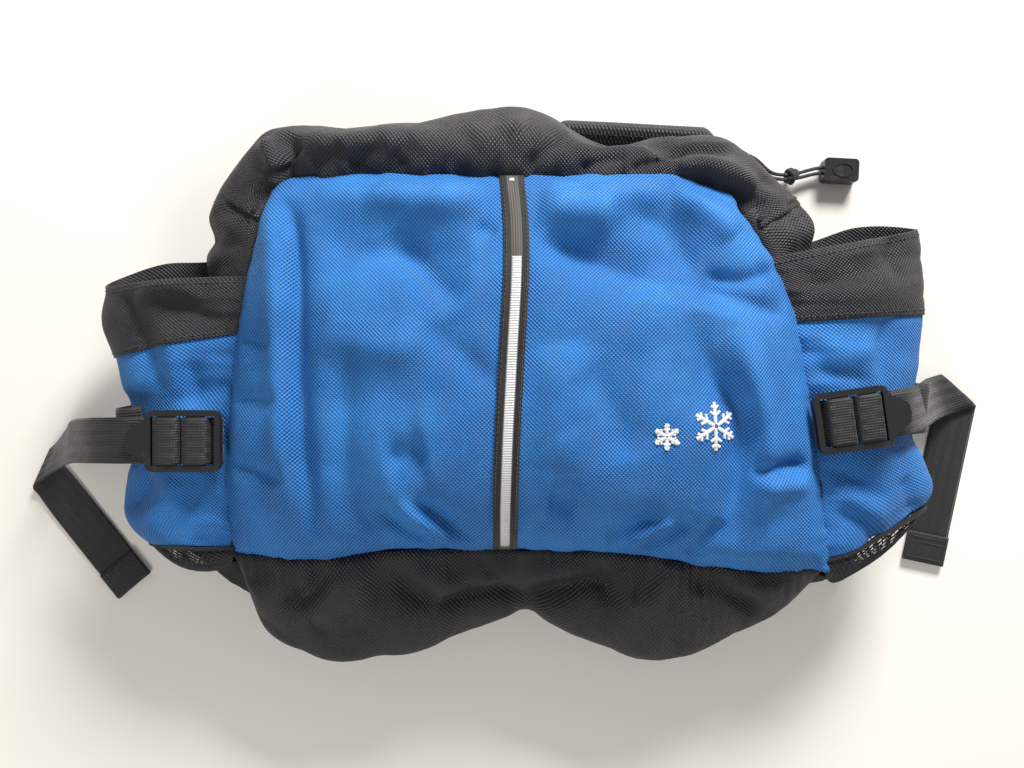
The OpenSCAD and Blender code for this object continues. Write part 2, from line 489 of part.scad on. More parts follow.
translate(centring) front_panel();
translate(centring) centre_tape();
translate(centring) reflective_line();
translate(centring) front_badge();
translate(centring) top_corner_left();
translate(centring) top_corner_right();
translate(centring) piping_left();
translate(centring) piping_right();
translate(centring) rear_lip();
translate(centring) side_gusset_left();
translate(centring) side_gusset_right();
translate(centring) bottom_gusset();
translate(centring) back_panel();
translate(centring) lumbar_pad();
translate(centring) mouth_lip();
translate(centring) zip_tape_lip();
translate(centring) zip_coil_lip();
translate(centring) zip_tape_rear();
translate(centring) zip_coil_rear();
translate(centring) zip_tape_closed_end();
translate(centring) zip_coil_closed_end();
translate(centring) zip_stop_open();
translate(centring) zip_stop_closed();
translate(centring) slider_body();
translate(centring) pull_tab();
translate(centring) pull_cord();
translate(centring) pull_knot();
translate(centring) pull_grip();
translate(centring) pocket_wall_left();
translate(centring) pocket_band_left();
translate(centring) pocket_mesh_left();
translate(centring) pocket_wall_right();
translate(centring) pocket_band_right();
translate(centring) pocket_mesh_right();
translate(centring) buckle_anchor_left();
translate(centring) buckle_anchor_right();
translate(centring) ladderlock_left();
translate(centring) ladderlock_right();
translate(centring) strap_wrap_left();
translate(centring) strap_wrap_right();
translate(centring) strap_run_left();
translate(centring) strap_run_right();
translate(centring) strap_tail_left();
translate(centring) strap_tail_right();
translate(centring) strap_hem_left();
translate(centring) strap_hem_right();
translate(centring) wing_root_left();
translate(centring) wing_root_right();
translate(centring) belt_wing_left();
translate(centring) belt_wing_right();
translate(centring) belt_webbing_left();
translate(centring) belt_webbing_right();
translate(centring) belt_socket();
translate(centring) belt_plug();
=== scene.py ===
"""The looks of a lumbar pack for skiing and hiking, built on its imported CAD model.

Lengths are millimetres in part.scad's own frame until a mesh is made, which moves them by HOME and
turns them into metres. X runs across the pack, Y towards its zipped mouth and Z out of its front.
"""
import math

import bmesh
import bpy
import numpy as np
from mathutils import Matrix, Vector


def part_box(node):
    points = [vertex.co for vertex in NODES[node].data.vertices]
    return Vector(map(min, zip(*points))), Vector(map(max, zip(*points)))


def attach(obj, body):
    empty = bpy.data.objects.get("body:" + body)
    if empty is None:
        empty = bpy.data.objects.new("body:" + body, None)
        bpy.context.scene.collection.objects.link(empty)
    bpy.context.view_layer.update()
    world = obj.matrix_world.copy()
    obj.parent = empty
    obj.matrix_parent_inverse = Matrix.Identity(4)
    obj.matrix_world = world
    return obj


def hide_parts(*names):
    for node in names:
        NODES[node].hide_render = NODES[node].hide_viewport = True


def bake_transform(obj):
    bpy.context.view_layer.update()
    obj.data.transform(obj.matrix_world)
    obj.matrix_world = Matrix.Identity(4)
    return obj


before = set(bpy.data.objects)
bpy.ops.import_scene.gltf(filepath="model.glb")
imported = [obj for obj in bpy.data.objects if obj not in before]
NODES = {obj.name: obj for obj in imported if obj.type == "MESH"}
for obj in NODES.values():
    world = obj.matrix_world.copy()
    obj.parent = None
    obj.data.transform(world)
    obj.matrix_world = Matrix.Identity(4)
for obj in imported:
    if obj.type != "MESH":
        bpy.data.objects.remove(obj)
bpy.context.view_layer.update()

MM = 0.001
HOME = np.array([8.0, 0.0, 0.0])
UP = np.array([0, 0, 1.0])
AHEAD = np.array([0, 1.0, 0])

# ---------------------------------------------------------------- sizes that part.scad also holds

RIM_Z = 72
CROWN_Z = 103
BACK_Z = 30.3
WALL = 2

TOP_EDGE = [[-130, 106, 3], [-116, 111, 8], [-60, 112, 10], [0, 112, 10], [60, 112, 10],
            [96, 110, 8], [118, 102, 4]]
RIGHT_EDGE = [[174, -101, -4], [171, -69, -2], [166, -31, 0], [160, 8, 0], [152, 46, 1],
              [138, 73, 2], [118, 102, 4]]
LEFT_EDGE = [[-154, -93, -4], [-156, -63, -2], [-155, -31, 0], [-151, 19, 0], [-146, 51, 1],
             [-139, 79, 2], [-130, 106, 3]]
BOTTOM_EDGE = [[-154, -93, -4], [-112, -96, -3], [-58, -91, -2], [1, -91, -2], [62, -93, -2],
               [122, -102, -3], [174, -101, -4]]
BACK_TOP = [[-124, 112, 0], [-60, 115, 0], [0, 115, 0], [60, 113, 0], [122, 106, 0]]
BACK_RIGHT = [[152, -108, 0], [165, -62, 0], [166, 0, 0], [157, 58, 0], [122, 106, 0]]
BACK_LEFT = [[-148, -108, 0], [-164, -62, 0], [-165, 0, 0], [-158, 60, 0], [-124, 112, 0]]
BACK_BOTTOM = [[-148, -108, 0], [-80, -114, 0], [0, -112, 0], [80, -114, 0], [152, -108, 0]]

ZIP_TURN = math.radians(-3)
ZIP_MID = (12, 131)
ZIP_LOW = 30.6
TAPE_W = 5
COIL_W = 3
ZIP_Z = ZIP_LOW + TAPE_W + COIL_W
LIP_BASE = ZIP_Z + COIL_W + TAPE_W + 0.3
LIP_LEFT, LIP_RIGHT, ZIP_RIGHT = -118, 80, 130
PART_GAP = 3.1
HINGE_Y, HINGE_Z = 112, 82

OUT_LEFT = [[-203, -90, 50], [-219, -73, 50], [-215, -42, 50], [-217, -11, 50], [-225, 18, 50],
            [-230, 48, 50]]
OUT_RIGHT = [[205, -92, 50], [236, -65, 50], [227, -30, 50], [230, 7, 50], [231, 44, 50],
             [227, 80, 50]]
SEAM_LEFT = [[-160, -98, 31.5], [-171, -62, 31.5], [-174, -30, 31.5], [-174, 0, 31.5],
             [-172, 30, 31.5], [-169, 60, 31.5]]
SEAM_RIGHT = [[162, -99, 31.5], [172, -62, 31.5], [175, -30, 31.5], [175, 5, 31.5], [171, 38, 31.5],
              [165, 68, 31.5]]
MOUTH_SLANT = 12
BAND_V = 0.76
POCKET_T = 1.4

STRAP_W, STRAP_T = 25, 1.6
CORD_R = 1.1

# ---------------------------------------------------------------- camera and light

scene = bpy.context.scene
EYE_HEIGHT = 0.600


def camera():
    """The photograph looks straight down at the pack, with its mouth at the top."""
    data = bpy.data.cameras.new("camera")
    data.sensor_width = 36
    data.lens = 34.2
    data.clip_start = 0.01
    eye = bpy.data.objects.new("camera", data)
    eye.location = (HOME[0] * MM, 0, EYE_HEIGHT)
    scene.collection.objects.link(eye)
    scene.camera = eye


def area_light(name, place, aim, size, power, colour):
    data = bpy.data.lights.new(name, "AREA")
    data.shape = "RECTANGLE"
    data.size, data.size_y = size
    data.energy = power
    data.color = colour
    lamp = bpy.data.objects.new(name, data)
    lamp.location = place
    lamp.rotation_euler = (Vector(aim) - Vector(place)).to_track_quat("-Z", "Y").to_euler()
    scene.collection.objects.link(lamp)


def light():
    """A window beyond the pack's mouth to the right, a weaker one opposite, and a pale room."""
    area_light("window", (0.5, 1.25, 0.74), (0, 0, 0.04), (0.55, 0.4), 43, (1.0, 0.985, 0.96))
    area_light("far_window", (-0.45, -1.1, 0.95), (0, 0, 0.04), (0.7, 0.5), 8.5, (1.0, 0.97, 0.93))
    world = bpy.data.worlds.new("room")
    world.use_nodes = True
    back = world.node_tree.nodes["Background"]
    back.inputs["Color"].default_value = (1.0, 0.97, 0.93, 1)
    back.inputs["Strength"].default_value = 0.36
    scene.world = world
    scene.view_settings.view_transform = "Standard"


camera()
light()

# ---------------------------------------------------------------- curves


def mix(a, b, t):
    return a + (b - a) * t


def ease(t):
    t = np.clip(t, 0, 1)
    return t * t * (3 - 2 * t)


def bell(x, middle, width):
    return np.exp(-(((x - middle) / width) ** 2))


def unit(v):
    return v / np.maximum(np.linalg.norm(v, axis=-1, keepdims=True), 1e-9)


def spline_terms(count, t):
    """The four control points that each t uses, and how far it is between the middle two."""
    s = np.clip(np.asarray(t, float), 0, 1) * (count - 1)
    i = np.minimum(np.floor(s).astype(int), count - 2)
    return [np.clip(i + k, 0, count - 1) for k in (-1, 0, 1, 2)], (s - i)[..., None]


def spline(p0, p1, p2, p3, f):
    return 0.5 * (2 * p1 + (p2 - p0) * f + (2 * p0 - 5 * p1 + 4 * p2 - p3) * f**2
                  + (3 * p1 - p0 - 3 * p2 + p3) * f**3)


def along(path, t):
    """Points of the smooth curve through a path, at t from 0 to 1."""
    path = np.asarray(path, float)
    picks, f = spline_terms(len(path), t)
    return spline(*(path[k] for k in picks), f)


def through(controls, t):
    """A grid whose row i is the smooth curve through the i-th point of each control, at every t."""
    stack = np.stack(controls, axis=1)
    picks, f = spline_terms(stack.shape[1], t)
    return spline(*(stack[:, k] for k in picks), f)


def point(x, y, z):
    return np.stack(np.broadcast_arrays(*(np.asarray(v, float) for v in (x, y, z))), axis=-1)


def distances(path):
    """How far along a path each of its points is."""
    return np.concatenate([[0], np.cumsum(np.linalg.norm(np.diff(path, axis=0), axis=1))])


def lift(p):
    return p + RIM_Z * UP


def raised(p):
    return p + BACK_Z * UP


def zip_point(x, z, y=0.0):
    """A point of the zip's upright plane, y in front of it, at x and z."""
    c, s = math.cos(ZIP_TURN), math.sin(ZIP_TURN)
    x = np.asarray(x, float)
    run = x - ZIP_MID[0]
    return point(ZIP_MID[0] + run * c - y * s, ZIP_MID[1] + run * s + y * c, z)


# ---------------------------------------------------------------- grids of cloth

PACK_CENTRE = np.array([0, 0, 52.0])


def normals(grid, away_from=PACK_CENTRE):
    """Unit normals of a grid, on the side that faces away from a point."""
    n = unit(np.cross(np.gradient(grid, axis=1), np.gradient(grid, axis=0)))
    return n if np.sum(n * (grid - away_from)) > 0 else -n


def crease(xy, path, height, width, ends=0.35):
    """How far one fold stands out at the points xy; a negative height is a valley."""
    line = along(path, np.linspace(0, 1, 6 * len(path)))
    best = np.full(xy.shape[:-1], 1e9)
    place = np.zeros(xy.shape[:-1])
    for k in range(len(line) - 1):
        a, d = line[k], line[k + 1] - line[k]
        t = np.clip(((xy - a) @ d) / max(d @ d, 1e-9), 0, 1)
        away = np.linalg.norm(xy - a - t[..., None] * d, axis=-1)
        place = np.where(away < best, (k + t) / (len(line) - 1), place)
        best = np.minimum(best, away)
    fade = ease(np.minimum(place, 1 - place) / ends + 0.15)
    near = (best / width) ** 2
    if height > 0:
        return height * np.exp(-near) * fade
    return height * np.exp(0.5 - np.sqrt(1.3 * near + 0.25)) * fade


def folded(xy, folds):
    return sum(crease(xy, path, height, width) for height, width, path in folds)


def ripples(xy, size, height, seed):
    """Soft unevenness made of a few crossing waves."""
    chance = np.random.default_rng(seed)
    total = np.zeros(xy.shape[:-1])
    for _ in range(9):
        turn = chance.uniform(0, 2 * math.pi)
        phase = chance.uniform(0, 6.3)
        stretch = chance.uniform(0.7, 1.5)
        run = xy @ np.array([math.cos(turn), math.sin(turn)])
        total += np.sin(run * 6.28 / (size * stretch) + phase)
    return total * height / 3


def crinkles(xy, size, height, seed):
    """Swells that meet in sharp creases, as stiff cloth buckles."""
    return height * (np.abs(ripples(xy, size, 1.6, seed)) - 0.5)


def wave(place, size, seed):
    """Uneven waves along one direction, of about unit height."""
    return ripples(np.stack([place, np.zeros_like(place)], axis=-1), size, 1.6, seed)


def puckers(from_seam, place, seed, height=1.0, reach=9.0):
    """Short gathers that run off a seam: from_seam and place are distances from it and along it."""
    gathers = wave(place, 15, seed) + 0.6 * wave(place, 7, seed + 50)
    return height * gathers * np.exp(-from_seam / reach)


def rolled(grid, radius, sides="tblr", turns=4, away_from=PACK_CENTRE):
    """The grid with its edges rolled over inwards, as cloth turns at a seam."""
    n = normals(grid, away_from)
    for side in sides:
        across = side in "lr"
        g, m = (grid.swapaxes(0, 1), n.swapaxes(0, 1)) if across else (grid, n)
        if side in "tr":
            g, m = g[::-1], m[::-1]
        ahead = unit(g[0] - g[1])
        angles = np.linspace(0, math.pi / 2, turns + 1)[:0:-1]
        extra = [g[0] + radius * (math.sin(a) * ahead - (1 - math.cos(a)) * m[0]) for a in angles]
        turned = [unit(math.cos(a) * m[0] + math.sin(a) * ahead) for a in angles]
        g, m = np.concatenate([extra, g]), np.concatenate([turned, m])
        if side in "tr":
            g, m = g[::-1], m[::-1]
        grid, n = (g.swapaxes(0, 1), m.swapaxes(0, 1)) if across else (g, m)
    return grid


def flat_uv(across, far):
    """Flat coordinates, in metres, for rows at far and columns at across, both in millimetres."""
    return np.stack(np.meshgrid(across * MM, far * MM), axis=-1)


def arc_lengths(grid):
    """A flat coordinate, in metres, for each point of a grid."""
    over = np.linalg.norm(np.diff(grid, axis=1), axis=-1).mean(axis=0)
    down = np.linalg.norm(np.diff(grid, axis=0), axis=-1).mean(axis=1)
    u = np.concatenate([[0], np.cumsum(over)])
    v = np.concatenate([[0], np.cumsum(down)])
    return np.stack(np.meshgrid(u, v), axis=-1) * MM


# ---------------------------------------------------------------- meshes


def mesh_object(name, points, faces, uv=None, smooth=True):
    """A new object from points in millimetres."""
    data = bpy.data.meshes.new(name)
    places = (np.asarray(points, float).reshape(-1, 3) + HOME) * MM
    data.from_pydata(places, [], [list(f) for f in faces])
    if uv is not None:
        layer = data.uv_layers.new(name="Cloth")
        corner = np.zeros(len(data.loops), int)
        data.loops.foreach_get("vertex_index", corner)
        layer.data.foreach_set("uv", np.asarray(uv, np.float32).reshape(-1, 2)[corner].ravel())
    shape = bmesh.new()
    shape.from_mesh(data)
    bmesh.ops.recalc_face_normals(shape, faces=shape.faces)
    shape.to_mesh(data)
    shape.free()
    data.polygons.foreach_set("use_smooth", np.full(len(data.polygons), smooth))
    obj = bpy.data.objects.new(name, data)
    scene.collection.objects.link(obj)
    return obj


def between(name, outer, inner, uv=None):
    """A closed sheet between two grids that have the same rows and columns."""
    rows, cols = outer.shape[:2]
    at = np.arange(rows * cols).reshape(rows, cols)
    quads = np.stack([at[:-1, :-1], at[:-1, 1:], at[1:, 1:], at[1:, :-1]], axis=-1).reshape(-1, 4)
    rim = np.concatenate([at[0], at[1:, -1], at[-1, -2::-1], at[-2:0:-1, 0]])
    after = np.roll(rim, -1)
    count = rows * cols
    sides = np.stack([rim, after, after + count, rim + count], axis=-1)
    faces = np.concatenate([quads, quads[:, ::-1] + count, sides])
    uv = arc_lengths(outer) if uv is None else uv
    return mesh_object(name, np.concatenate([outer.reshape(-1, 3), inner.reshape(-1, 3)]), faces,
                       np.concatenate([uv.reshape(-1, 2)] * 2))


def cloth(name, grid, thick, uv=None, away_from=PACK_CENTRE):
    """A sheet of cloth whose outer face is the grid."""
    return between(name, grid, grid - thick * normals(grid, away_from), uv)


def no_uv(obj):
    """Gives a piece with no flat coordinates an empty set of them, for its material to look up."""
    obj.data.uv_layers.new(name="Cloth")


def frames_along(path):
    """Two directions across a path at each of its points, carried along it without twisting."""
    ahead = unit(np.gradient(path, axis=0))
    side = unit(np.cross(ahead[0], [0.13, 0.21, 1.0]))
    sides = [side]
    for d in ahead[1:]:
        side = unit(side - d * (side @ d))
        sides.append(side)
    sides = np.array(sides)
    return sides, np.cross(ahead, sides)


def tube_parts(path, radius, sides=6):
    """Points and faces of a round tube along a path, closed at both ends."""
    path = np.asarray(path, float)
    a, b = (way[:, None] for way in frames_along(path))
    turn = np.linspace(0, 2 * math.pi, sides, endpoint=False)[:, None]
    rings = path[:, None] + radius * (a * np.cos(turn) + b * np.sin(turn))
    at = np.arange(len(path) * sides).reshape(len(path), sides)
    on = np.roll(at, -1, axis=1)
    faces = np.stack([at[:-1], on[:-1], on[1:], at[1:]], axis=-1).reshape(-1, 4).tolist()
    return rings.reshape(-1, 3), faces + [at[0].tolist(), at[-1].tolist()]


def joined(name, parts, smooth=True):
    """One object from several (points, faces) parts."""
    points, faces, start = [], [], 0
    for p, f in parts:
        points.append(p)
        faces += [[k + start for k in face] for face in f]
        start += len(p)
    return mesh_object(name, np.concatenate(points), faces, smooth=smooth)


def tube(name, path, radius, sides=8):
    return joined(name, [tube_parts(path, radius, sides)])


def resampled(path, spacing):
    """Evenly spaced points along a path."""
    path = np.asarray(path, float)
    far = distances(path)
    stops = np.linspace(0, far[-1], max(int(far[-1] / spacing), 2) + 1)
    return np.stack([np.interp(stops, far, path[:, k]) for k in range(path.shape[1])], axis=-1)


STITCH_STEPS = 6
STITCH_RISE = np.array([-0.35, 0.12, 0.2, 0.12, -0.35])[:, None]


def stitches(name, path, normal, pitch, radius, share=0.72):
    """A row of lockstitches that sink into the cloth at their ends."""
    both = np.concatenate([path, np.broadcast_to(normal, path.shape)], axis=1)
    both = resampled(both, pitch / STITCH_STEPS)
    line, out = both[:, :3], unit(both[:, 3:])
    parts = []
    for start in range(0, len(line) - STITCH_STEPS, STITCH_STEPS):
        t = np.linspace(0, share * STITCH_STEPS, len(STITCH_RISE)) + start
        spot = np.stack([np.interp(t, range(len(line)), line[:, k]) for k in range(3)], axis=-1)
        parts.append(tube_parts(spot + out[start] * STITCH_RISE, radius, 5))
    return joined(name, parts)


def web(name, middle, across, width, thick, edge=0.5):
    """Flat webbing along a path, with softly rounded edges. across is its direction at each point."""
    across = unit(np.broadcast_to(across, middle.shape).astype(float))
    ahead = unit(np.gradient(middle, axis=0))
    up = unit(np.cross(ahead, across))
    half, t = width / 2, thick / 2
    outer, inner = 1 - edge / half, 1 - 3 * edge / half
    stops = np.array([-1, -outer, -inner, -0.5, 0, 0.5, inner, outer, 1])
    thin = [0.35, 0.85, 1, 1, 1, 1, 1, 0.85, 0.35]
    ripple = 0.04 * np.sin(np.arange(len(middle)) * 1.9)[:, None]
    top = np.stack([middle + across * (s * half + ripple * (abs(s) > 0.9)) + up * t * k
                    for s, k in zip(stops, thin)], axis=1)
    low = np.stack([middle + across * (s * half) - up * t * k for s, k in zip(stops, thin)], axis=1)
    return between(name, top, low, flat_uv(stops * half, distances(middle)))


# ---------------------------------------------------------------- materials


class Finish:
    """A principled material and short ways to wire its nodes."""

    def __init__(self, name, **constants):
        self.material = bpy.data.materials.new(name)
        self.material.use_nodes = True
        self.tree = self.material.node_tree
        self.shader = self.tree.nodes["Principled BSDF"]
        for key, value in constants.items():
            self.shader.inputs[key.replace("_", " ")].default_value = value

    def node(self, kind, links=(), **settings):
        made = self.tree.nodes.new(kind)
        for key, value in settings.items():
            setattr(made, key, value)
        for socket, source in dict(links).items():
            if hasattr(source, "is_output"):
                self.tree.links.new(source, made.inputs[socket])
            else:
                made.inputs[socket].default_value = source
        return made

    def math(self, operation, a, b=0.0, c=0.0):
        return self.node("ShaderNodeMath", {0: a, 1: b, 2: c}, operation=operation).outputs[0]

    def spread(self, value, low, high, new_low=0.0, new_high=1.0):
        settings = {0: value, 1: low, 2: high, 3: new_low, 4: new_high}
        return self.node("ShaderNodeMapRange", settings).outputs[0]

    def flat(self):
        """The cloth's own coordinates, in metres."""
        uv = self.node("ShaderNodeUVMap", uv_map="Cloth").outputs[0]
        split = self.node("ShaderNodeSeparateXYZ", {0: uv})
        return split.outputs[0], split.outputs[1]

    def noise(self, scale, detail=3.0, rough=0.55):
        place = self.node("ShaderNodeTexCoord").outputs["Object"]
        settings = {"Vector": place, "Scale": scale, "Detail": detail, "Roughness": rough}
        return self.node("ShaderNodeTexNoise", settings).outputs[0]

    def wave(self, value, pitch, shift=0.0):
        return self.math("COSINE", self.math("MULTIPLY_ADD", value, 2 * math.pi / pitch, shift))

    def blended(self, fac, a, b):
        made = self.node("ShaderNodeMix", data_type="RGBA")
        self.tree.links.new(fac, made.inputs["Factor"])
        for socket, value in ((made.inputs[6], a), (made.inputs[7], b)):
            if hasattr(value, "is_output"):
                self.tree.links.new(value, socket)
            else:
                socket.default_value = (*value, 1)
        return made.outputs[2]

    def finish(self, colour=None, rough=None, height=None, depth=0.0003, strength=0.8):
        if colour is not None:
            self.tree.links.new(colour, self.shader.inputs["Base Color"])
        if rough is not None:
            self.tree.links.new(rough, self.shader.inputs["Roughness"])
        if height is not None:
            settings = {"Height": height, "Distance": depth, "Strength": strength}
            bump = self.node("ShaderNodeBump", settings)
            self.tree.links.new(bump.outputs[0], self.shader.inputs["Normal"])
        return self.material


def woven(name, gap, thread, worn, pitch=2.15 * MM, sheen=0.25, tint=(0.8, 0.85, 1.0), dull=0.64):
    """Coarse plain-weave polyester: staggered thread crossings with dark gaps between them."""
    f = Finish(name, Roughness=dull, Specular_IOR_Level=0.45, Sheen_Weight=sheen,
               Sheen_Roughness=0.45, Sheen_Tint=(*tint, 1))
    u, v = f.flat()
    crossings = f.math("MULTIPLY", f.wave(u, pitch), f.wave(v, pitch))
    fuzz = f.noise(2600, 2)
    level = f.math("MULTIPLY_ADD", fuzz, 0.7, f.math("SUBTRACT", crossings, 0.35))
    colour = f.blended(f.spread(level, -0.8, 0.45), gap, thread)
    colour = f.blended(f.spread(f.noise(26, 5), 0.42, 0.74, 0, 0.5), colour, worn)
    rough = f.spread(f.noise(90, 3), 0.3, 0.7, dull - 0.06, dull + 0.1)
    return f.finish(colour, rough, f.spread(level, -1, 1), 0.0006, 1.0)


def webbing(name, thread, gap, rib, weft):
    """Ribbed webbing: cords along its length, crossed by a slanting weft that turns every few ribs."""
    f = Finish(name, Roughness=0.55, Specular_IOR_Level=0.45, Sheen_Weight=0.2, Sheen_Roughness=0.4)
    u, v = f.flat()
    zigzag = f.math("PINGPONG", u, 3.1 * MM)
    slant = f.math("MULTIPLY_ADD", zigzag, 1.1, v)
    height = f.math("MULTIPLY_ADD", f.wave(slant, weft), 0.75, f.wave(u, rib))
    level = f.math("MULTIPLY_ADD", f.noise(2200, 2), 0.9, height)
    colour = f.blended(f.spread(level, -1.0, 1.7), gap, thread)
    rough = f.spread(f.noise(140), 0.3, 0.7, 0.46, 0.64)
    return f.finish(colour, rough, f.spread(level, -1.5, 2), 0.0003, 0.9)


def thread(name, colour, dark):
    f = Finish(name, Roughness=0.5, Specular_IOR_Level=0.5, Sheen_Weight=0.3)
    return f.finish(f.blended(f.spread(f.noise(900, 2), 0.3, 0.7), dark, colour), None,
                    f.noise(5200, 1), 0.0001, 0.7)


def reflective():
    """Silver tape with fine cross ribs and a few soft scuffs."""
    f = Finish("reflective", Roughness=0.34, Metallic=0.15, Specular_IOR_Level=0.7)
    u, v = f.flat()
    ribs = f.wave(v, 1.3 * MM)
    colour = f.blended(f.spread(ribs, -1, 0.3), (0.42, 0.43, 0.44), (0.68, 0.69, 0.70))
    colour = f.blended(f.spread(f.noise(160, 4), 0.56, 0.8, 0, 0.6), colour, (0.45, 0.45, 0.46))
    return f.finish(colour, f.spread(f.noise(300), 0.3, 0.7, 0.26, 0.5), ribs, 0.00018, 0.7)


def moulded(name, colour, worn, rough):
    """Injection-moulded plastic with a fine spark-eroded grain, scuffed here and there."""
    f = Finish(name, Specular_IOR_Level=0.5)
    grain = f.noise(3400, 2)
    scuffs = f.spread(f.noise(70, 6, 0.7), 0.55, 0.75)
    scuffed = f.spread(scuffs, 0, 1, rough, rough + 0.14)
    return f.finish(f.blended(scuffs, colour, worn), scuffed, grain, 0.00008, 0.6)


def enamel():
    """Baked black enamel over die-cast zinc, worn a little towards bare metal."""
    f = Finish("zip_metal", Metallic=0.55, Specular_IOR_Level=0.6)
    wear = f.spread(f.noise(420, 6, 0.7), 0.6, 0.72)
    colour = f.blended(wear, (0.035, 0.035, 0.04), (0.32, 0.31, 0.3))
    return f.finish(colour, f.spread(wear, 0, 1, 0.3, 0.45), f.noise(1500, 2), 0.00006, 0.5)


def tabletop():
    f = Finish("tabletop", Roughness=0.55, Specular_IOR_Level=0.25)
    colour = f.blended(f.spread(f.noise(1.4, 2), 0.35, 0.7), (0.80, 0.775, 0.735), (0.84, 0.82, 0.785))
    return f.finish(colour, None, f.noise(220, 3), 0.00008, 0.3)


BLUE = woven("blue_cloth", (0.001, 0.03, 0.14), (0.018, 0.20, 0.60), (0.03, 0.255, 0.70),
             sheen=0.05)
BLACK = woven("black_cloth", (0.0006, 0.0006, 0.0008), (0.021, 0.0205, 0.026),
              (0.032, 0.031, 0.038), sheen=0.05, tint=(0.95, 0.93, 1.0), dull=0.5)
WEBBING = webbing("webbing", (0.022, 0.022, 0.025), (0.0015, 0.0015, 0.002), 1.4 * MM, 1.3 * MM)
TAPE = webbing("tape_edges", (0.013, 0.012, 0.013), (0.003, 0.003, 0.003), 0.9 * MM, 0.8 * MM)
TAUPE = webbing("tape_middle", (0.11, 0.095, 0.085), (0.035, 0.03, 0.027), 1.3 * MM, 0.9 * MM)
MESH = woven("mesh", (0.002, 0.002, 0.002), (0.028, 0.028, 0.031), (0.038, 0.038, 0.042),
             2.6 * MM, 0.15)
ZIP = webbing("zip_tape", (0.022, 0.022, 0.024), (0.003, 0.003, 0.003), 0.8 * MM, 0.7 * MM)
COIL = moulded("zip_coil", (0.018, 0.018, 0.02), (0.06, 0.06, 0.062), 0.34)
METAL = enamel()
CORD = woven("cord", (0.004, 0.004, 0.004), (0.03, 0.03, 0.033), (0.05, 0.05, 0.053), 0.9 * MM)
BLACK_THREAD = thread("black_thread", (0.018, 0.018, 0.02), (0.006, 0.006, 0.007))
WHITE_THREAD = thread("white_thread", (0.86, 0.87, 0.89), (0.6, 0.62, 0.66))
SILVER = reflective()
PLASTIC = moulded("moulding", (0.014, 0.014, 0.016), (0.04, 0.04, 0.043), 0.32)


def dress(obj, finish, body="pack", stands_for=()):
    """Gives a new piece its material, its body and the CAD nodes it replaces."""
    obj.data.materials.append(finish)
    if body:
        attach(obj, body)
    if stands_for:
        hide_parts(*stands_for)
    return obj


def sew(name, line, out, pitch=3.0, radius=0.22, body="pack", share=0.72):
    """A row of stitches in black thread."""
    return dress(stitches(name, line, out, pitch, radius, share), BLACK_THREAD, body)


# ---------------------------------------------------------------- zip pull: cord, knot and grip

STRAND_OUT = [[134.2, 7.3, 38.4], [138, 7.4, 36.6], [144, 6.6, 30], [151, 5, 20], [158, 3.9, 12],
              [167, 4.4, 8], [175, 6.4, 6.2], [184, 9.4, 5.4], [190, 10.5, 5.2], [198, 10.6, 5.2]]
STRAND_IN = [[134.2, 3, 38.4], [138, 3.2, 36.4], [144, 3.1, 29.6], [151, 2.4, 19.8], [158, 1.2, 11.8],
             [167, 1.6, 8], [175, 3.4, 6.2], [184, 6.2, 5.4], [190, 7.3, 5.2], [198, 7.4, 5.2]]
LOOP_TOP = [[133.5, 6.3, 38.6], [133.4, 5.2, 38.6], [133.5, 4.1, 38.6]]
KNOT = np.array([170, 3.8, 7.2])


def in_zip(p):
    """Points of the zip's own frame, brought to the pack's."""
    p = np.asarray(p, float)
    return zip_point(p[..., 0], p[..., 2], p[..., 1])


def zip_pull():
    """A braided cord doubled through the pull tab, knotted, with its ends in a moulded grip."""
    route = along(STRAND_OUT[::-1] + LOOP_TOP + STRAND_IN, np.linspace(0, 1, 121))
    path = in_zip(route)
    strand = dress(tube("pull_cord_braid", path, CORD_R, 10), CORD, "pull", ["pull_cord"])
    no_uv(strand)
    wraps = []
    turns = np.linspace(0, 1, 100)
    ahead = np.array([0.96, 0.0, -0.24])
    up = np.cross(ahead, AHEAD)
    for lean, size, start in ((0.4, 3.7, 0.0), (-0.55, 3.5, 2.0), (0.0, 4.1, 4.0)):
        angle = (start + turns * 2 * math.pi * 1.35)[:, None]
        far = ((turns - 0.5) * 3.4 + lean * 2.2)[:, None] + lean * 1.6 * np.cos(angle)
        ring = KNOT + ahead * far + size * (np.cos(angle) * AHEAD + np.sin(angle) * up)
        wraps.append(tube_parts(in_zip(ring), CORD_R * 1.05, 8))
    knot = dress(joined("pull_knot_wraps", wraps), CORD, "pull", ["pull_knot"])
    no_uv(knot)


zip_pull()

# ---------------------------------------------------------------- front panel

